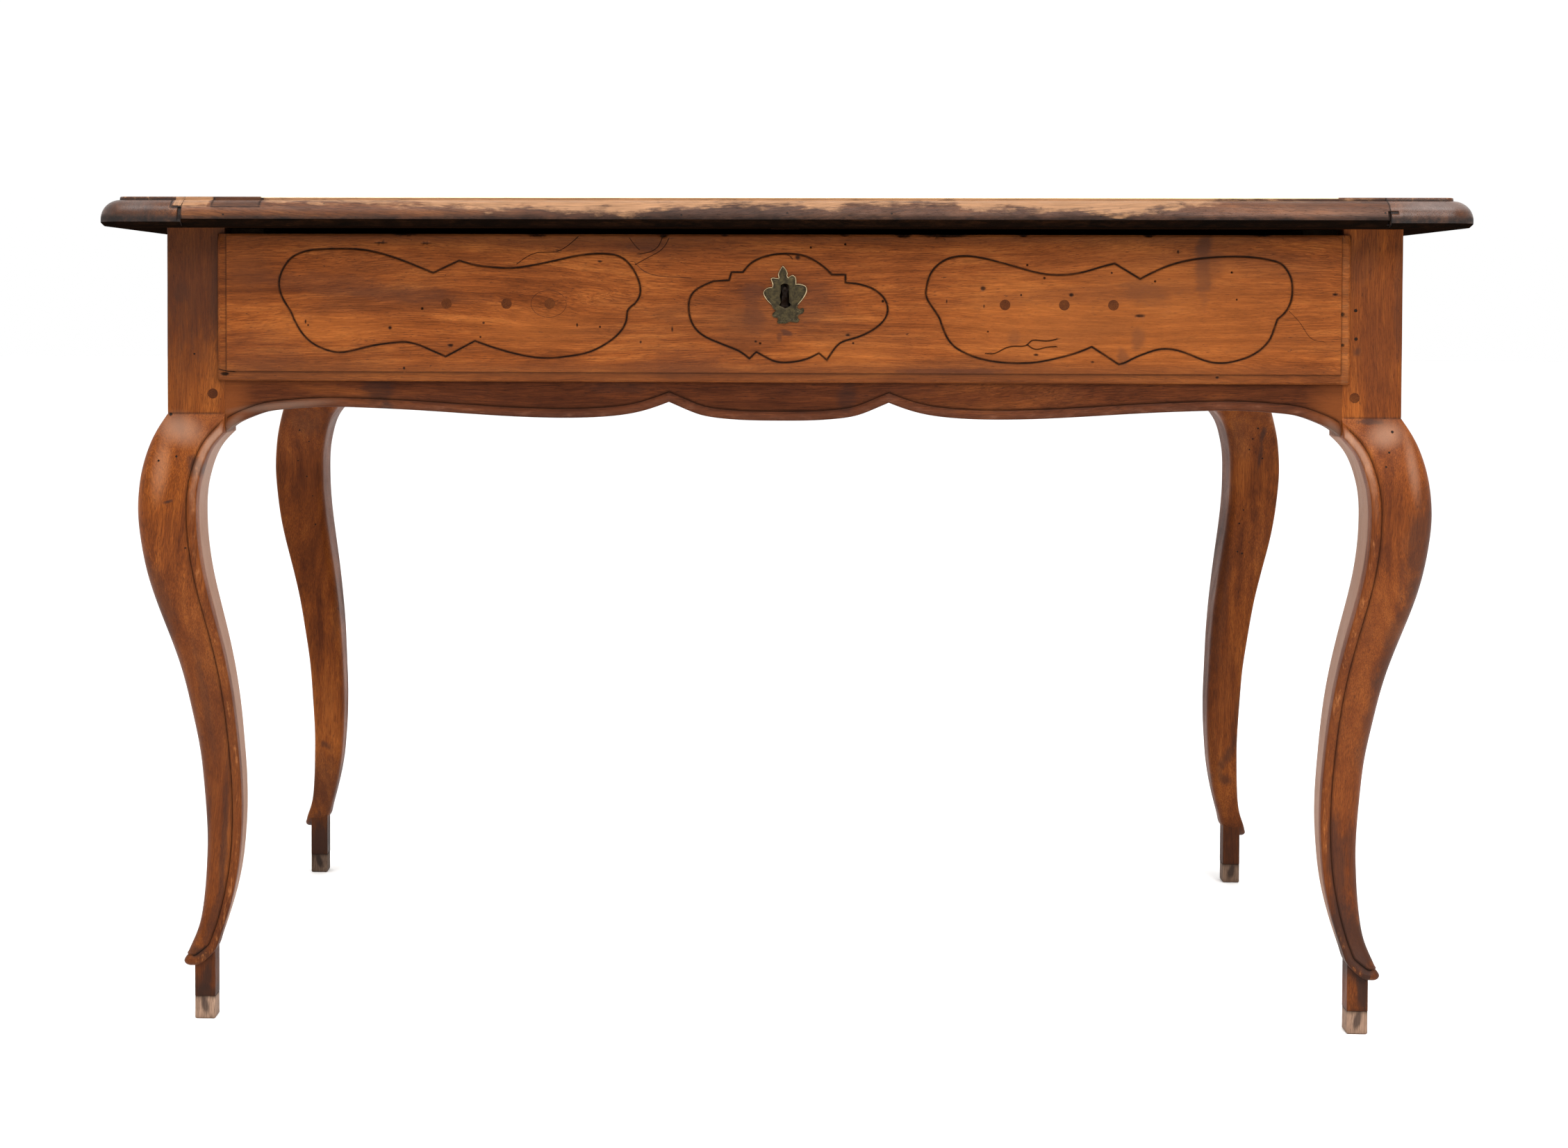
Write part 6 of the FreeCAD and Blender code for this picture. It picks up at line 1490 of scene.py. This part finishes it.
# %% Metals
def metal(name, body, tarnish, bright, rough=(0.34, 0.62)):
    size, cover = 0.004, 0.55
    material, tree, shader = new_material(name)
    coordinates = tree.nodes.new("ShaderNodeTexCoord")
    places = coordinates.outputs["Object"]
    cloud = stretched(tree, places, size, size, detail=5, rough=0.65)
    grain = stretched(tree, places, size * 0.12, size * 0.12, detail=3)
    share = link_range(tree, cloud, 0.5 - 0.25 * cover, 0.5 + 0.25 * (1 - cover) + 0.12)
    colour = link_mix(tree, share, tarnish, body)
    dark = link_maths(tree, "MULTIPLY", mark(tree, "dirt"), 0.85)
    colour = link_mix(tree, dark, colour, (0.012, 0.009, 0.006))
    rubbed = link_range(tree, link_maths(tree, "MULTIPLY_ADD", cloud, 0.5, mark(tree, "wear")), 0.62, 0.95)
    rubbed = link_maths(tree, "MULTIPLY", rubbed, link_range(tree, mark(tree, "wear"), 0.05, 0.3))
    colour = link_mix(tree, rubbed, colour, bright)
    tree.links.new(colour, shader.inputs["Base Color"])
    shader.inputs["Metallic"].default_value = 0.85
    dull = link_range(tree, cloud, 0.3, 0.7, rough[1], rough[0])
    tree.links.new(dull, shader.inputs["Roughness"])
    bump = tree.nodes.new("ShaderNodeBump")
    bump.inputs["Strength"].default_value = 0.5
    bump.inputs["Distance"].default_value = 0.00015
    height = link_maths(tree, "MULTIPLY_ADD", grain, 0.4, cloud)
    tree.links.new(height, bump.inputs["Height"])
    tree.links.new(bump.outputs[0], shader.inputs["Normal"])
    return material


brass = metal("old brass", (0.075, 0.056, 0.024), (0.024, 0.018, 0.009), (0.62, 0.47, 0.27))
iron = metal("old iron", (0.10, 0.085, 0.075), (0.065, 0.032, 0.018), (0.35, 0.32, 0.29), rough=(0.45, 0.75))

# %% [markdown]
# ## Key plate
# The plate has a pointed tip, two shoulders, wings and a curled foot, sawn from thin sheet and filed to a
# bevel. A scribed line follows its edge. It is a relief like the drawer front: each point's height comes from
# its distance to the outline.

# %% Key plate
PLATE_OUTLINE = [  # from the tip down the right side, over the foot and up the left side
    [(-0.2, 25.2), (1.4, 23), (2.6, 19.6)],
    [(2.1, 17.9), (2.9, 16.8)],
    [(4.4, 17.7), (6.4, 18.7), (9.3, 17.1)],
    [(9.9, 15.1), (10, 13), (10, 11)],
    [(13.1, 10.9), (15.6, 10.4), (17.9, 9.3), (19, 7.8), (19.4, 5.4), (19, 3.1), (17.7, 0.4), (15.7, -2.7),
     (13.3, -5.7), (11.4, -8.1), (10.9, -9.8)],
    [(12.3, -11), (14.2, -10.9), (15.7, -10.1), (16.7, -11.5), (16.7, -13.1), (15.7, -14.9), (14, -15.6)],
    [(11.8, -16.9), (11.6, -18.9), (12.8, -20.3), (12.4, -21.7), (11.2, -23)],
    [(7.1, -22.7), (4.1, -22.4), (2.3, -23.3), (0.5, -23.7), (-2, -23.9), (-5.1, -24)],
    [(-6.3, -23.2), (-6.4, -21.5), (-6.1, -19.5), (-7.3, -18.9), (-9.1, -18.7)],
    [(-10.8, -17.3), (-10.8, -15.4), (-9.5, -13.9), (-7.7, -12.4)],
    [(-9.4, -11.6), (-10.4, -10.4), (-11.6, -8.1), (-14.3, -5.3), (-16.8, -2.3), (-18.5, 0.6),
     (-19.1, 2.6), (-18.4, 5), (-16.3, 6.9), (-13.8, 7.9), (-11.3, 8.1)],
    [(-11, 9.9), (-11.7, 12.5), (-12.7, 15.7)],
    [(-10.8, 16.4), (-8.3, 16.2), (-5.6, 16)],
    [(-6, 17.9), (-6.2, 19.6)],
    [(-5.2, 21.9), (-3.5, 25), (-1.9, 26.9)],
]
PLATE_MIDDLE = (5.0, 654.4)
PLATE_THICK = 1.5
plate_line = outline(PLATE_OUTLINE, PLATE_MIDDLE, step=0.45)
ring = plate_line[:-1][::-1]


def plate_depth(points):
    away = near_line(points, plate_line, 6)
    away = np.minimum(away, 6)
    hole = keyhole_ring()
    from_hole = near_line(points, np.concatenate([hole, hole[:1]]), 3)
    bevel = 0.75 * (1 - ease(away, 0, 1.1)) + 0.5 * (1 - ease(from_hole, 0, 0.7))
    line = 0.22 * np.exp(-((away - 2.2) / 0.28) ** 2) + 0.16 * np.exp(-((away - 3.4) / 0.3) ** 2)
    hollow = 0.25 * ease(away, 1.0, 5.0)
    above = 0.5 + 0.5 * np.tanh((points[:, 1] - 648) / 9)
    wear = (0.20 + 0.70 * above) * np.exp(-((away - 0.45) / 0.40) ** 2)
    wear = wear + 0.3 * np.exp(-((from_hole - 0.5) / 0.4) ** 2)
    dirt = 0.45 * np.exp(-((away - 1.8) / 0.6) ** 2)
    return bevel + line + hollow, dirt, wear


x, z = np.meshgrid(np.arange(-15, 25.2, 0.8), np.arange(629, 683, 0.8))
away = [side * step for side in (-1, 1) for step in (0.25, 0.5, 0.8, 1.1, 1.5, 1.9, 2.2, 2.5, 3.1, 3.7)]
extra = np.concatenate([np.stack([x.ravel(), z.ravel()], 1), rings_beside(plate_line, away)])
clear = inside(extra, ring) & ~inside(extra, keyhole_ring(0.3))
extra = extra[clear & (near_line(extra, plate_line, 2) > 0.12)]
hole = keyhole_ring()
flat_points, flat_faces = triangles(ring, [hole], extra)
depth, dirt, wear = plate_depth(flat_points)
skin = Skin()
front = FACE - PLATE_THICK
plate_points = np.column_stack([flat_points[:, 0], front + depth, flat_points[:, 1]])
skin.add(plate_points, flat_faces.tolist(), dirt=dirt, wear=wear)
for loop in (ring, hole):
    depth = plate_depth(loop)[0]
    near = np.column_stack([loop[:, 0], front + depth, loop[:, 1]])
    far = near.copy()
    far[:, 1] = FACE + 0.1
    skin.grid(np.stack([near, far]), round_rows=True, dirt=0.5)
build("escutcheon", skin, skin.places(), "drawer", brass, ["escutcheon"], sharp=40)

# %% [markdown]
# ## Everything else
# The measured pieces that people see less, or only when the drawer is out, have the right shape already.
# They get their wood or metal here, and each board's grain runs along its longest side.

# %% Finish the measured pieces
def inner_wood(node, tones, **kinds):
    low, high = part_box(node)
    spans = [b - a for a, b in zip(low, high)]
    grain = "xyz"[spans.index(max(spans))]
    seed = sum(ord(letter) for letter in node) % 17
    return wood(f"{node} wood", grain, tones, start=(0.13 * seed, 0.21 * seed, 0.07 * seed), **kinds)


dark_peg = wood("peg wood", "y", shaded(LEG_TONES, 0.50), flame=0.0, flecks=0.8, gloss=0.5, blotch=0.6,
                shine=0.08)
# painted shade: kickers and runners are darkened for the shade they sit in
INNER_PAINTED_SHADE = dict(kicker=0.18, runner=0.35)
finished = {"inner_wood": 0, "iron": 0, "brass": 0, "peg_wood": 0}
replaced = {"drawer_front", "escutcheon"}
for part in frame["record"]["subparts"]:
    node, slot = part["node"], part["material_slot"]
    if slot not in finished or node in replaced:
        continue
    thing = frame["nodes"][node]
    if slot == "inner_wood":
        shade = [value for word, value in INNER_PAINTED_SHADE.items() if word in node]
        tones = shaded(INNER_TONES, shade[0] if shade else 1.0)
        material = inner_wood(node, tones, flame=0.12, blotch=0.7, haze=0.6, gloss=0.62, shine=0.1)
    elif slot == "peg_wood":
        material = dark_peg
    else:
        material = iron if slot == "iron" else brass
    thing.data.materials.clear()
    thing.data.materials.append(material)
    finished[slot] += 1
print("finished in place:", finished)

# %% [markdown]
# ## Floor, light and camera
# The desk stands on a plain pale floor in a white room that is brighter behind than in front. One large soft
# light hangs in front, a little to the right. A second one hangs over the desk, so that the nose of the top
# and the knees catch it, and a weaker one fills the left side.

# %% Floor
bpy.ops.mesh.primitive_circle_add(vertices=96, radius=30, fill_type="NGON", location=(0, 0, 0))
floor = bpy.context.object
floor.name = "floor"
floor_finish, tree, shader = new_material("pale floor")
shader.inputs["Base Color"].default_value = (0.95, 0.95, 0.945, 1)
shader.inputs["Roughness"].default_value = 0.7
floor.data.materials.append(floor_finish)

# %% Light
world = bpy.data.worlds.new("white room")
bpy.context.scene.world = world
world.use_nodes = True
sky = world.node_tree
sky.nodes["Background"].inputs[0].default_value = (1.0, 1.0, 1.0, 1)
direction = sky.nodes.new("ShaderNodeTexCoord").outputs["Generated"]
parts = sky.nodes.new("ShaderNodeSeparateXYZ")
sky.links.new(direction, parts.inputs[0])
level = link_range(sky, parts.outputs[1], -0.7, 0.5, 0.60, 1.0)
from_above = link_range(sky, parts.outputs[2], 0.0, 1.0)
sky.links.new(link_maths(sky, "MULTIPLY_ADD", from_above, 0.55, level), sky.nodes["Background"].inputs[1])


def soft_light(name, place, aim, width, height, power):
    data = bpy.data.lights.new(name, "AREA")
    data.shape = "RECTANGLE"
    data.size, data.size_y = width, height
    data.energy = power
    lamp = bpy.data.objects.new(name, data)
    bpy.context.collection.objects.link(lamp)
    lamp.location = place
    lamp.rotation_euler = (Vector(aim) - Vector(place)).to_track_quat("-Z", "Y").to_euler()


soft_light("key light", (0.9, -3.0, 2.6), (0, 0, 0.45), 2.2, 1.5, 100)
soft_light("top light", (0.0, -1.0, 2.5), (0, -0.2, 0.3), 3.2, 0.8, 50)
soft_light("left light", (-3.0, -0.8, 1.4), (0, 0, 0.5), 1.2, 1.8, 9)

# %% Camera
CAMERA = Vector((-0.01965, -2.32873, 0.64084))
YAW, PITCH, ROLL = -0.03556, 0.02828, 0.00272
FOCAL = 3309.785
CENTRE = (971.2, 541.83)
WIDTH, HEIGHT = 2257, 1652
SENSOR = 36
ahead = Vector((math.sin(YAW) * math.cos(PITCH), math.cos(YAW) * math.cos(PITCH), -math.sin(PITCH)))
across = ahead.cross(Vector((0, 0, 1))).normalized()
up = across.cross(ahead)
right_hand = across * math.cos(ROLL) + up * math.sin(ROLL)
upward = up * math.cos(ROLL) - across * math.sin(ROLL)
data = bpy.data.cameras.new("camera")
camera = bpy.data.objects.new("camera", data)
bpy.context.collection.objects.link(camera)
turn = Matrix((right_hand, upward, -ahead)).transposed()
camera.matrix_world = Matrix.Translation(CAMERA) @ turn.to_4x4()
data.sensor_width = SENSOR
data.lens = FOCAL / WIDTH * SENSOR
data.shift_x = (WIDTH / 2 - CENTRE[0]) / WIDTH
data.shift_y = (CENTRE[1] - HEIGHT / 2) / WIDTH
bpy.context.scene.camera = camera
bpy.context.scene.view_settings.view_transform = "Standard"
print("camera: lens", round(data.lens, 2), "shift", round(data.shift_x, 4), round(data.shift_y, 4))
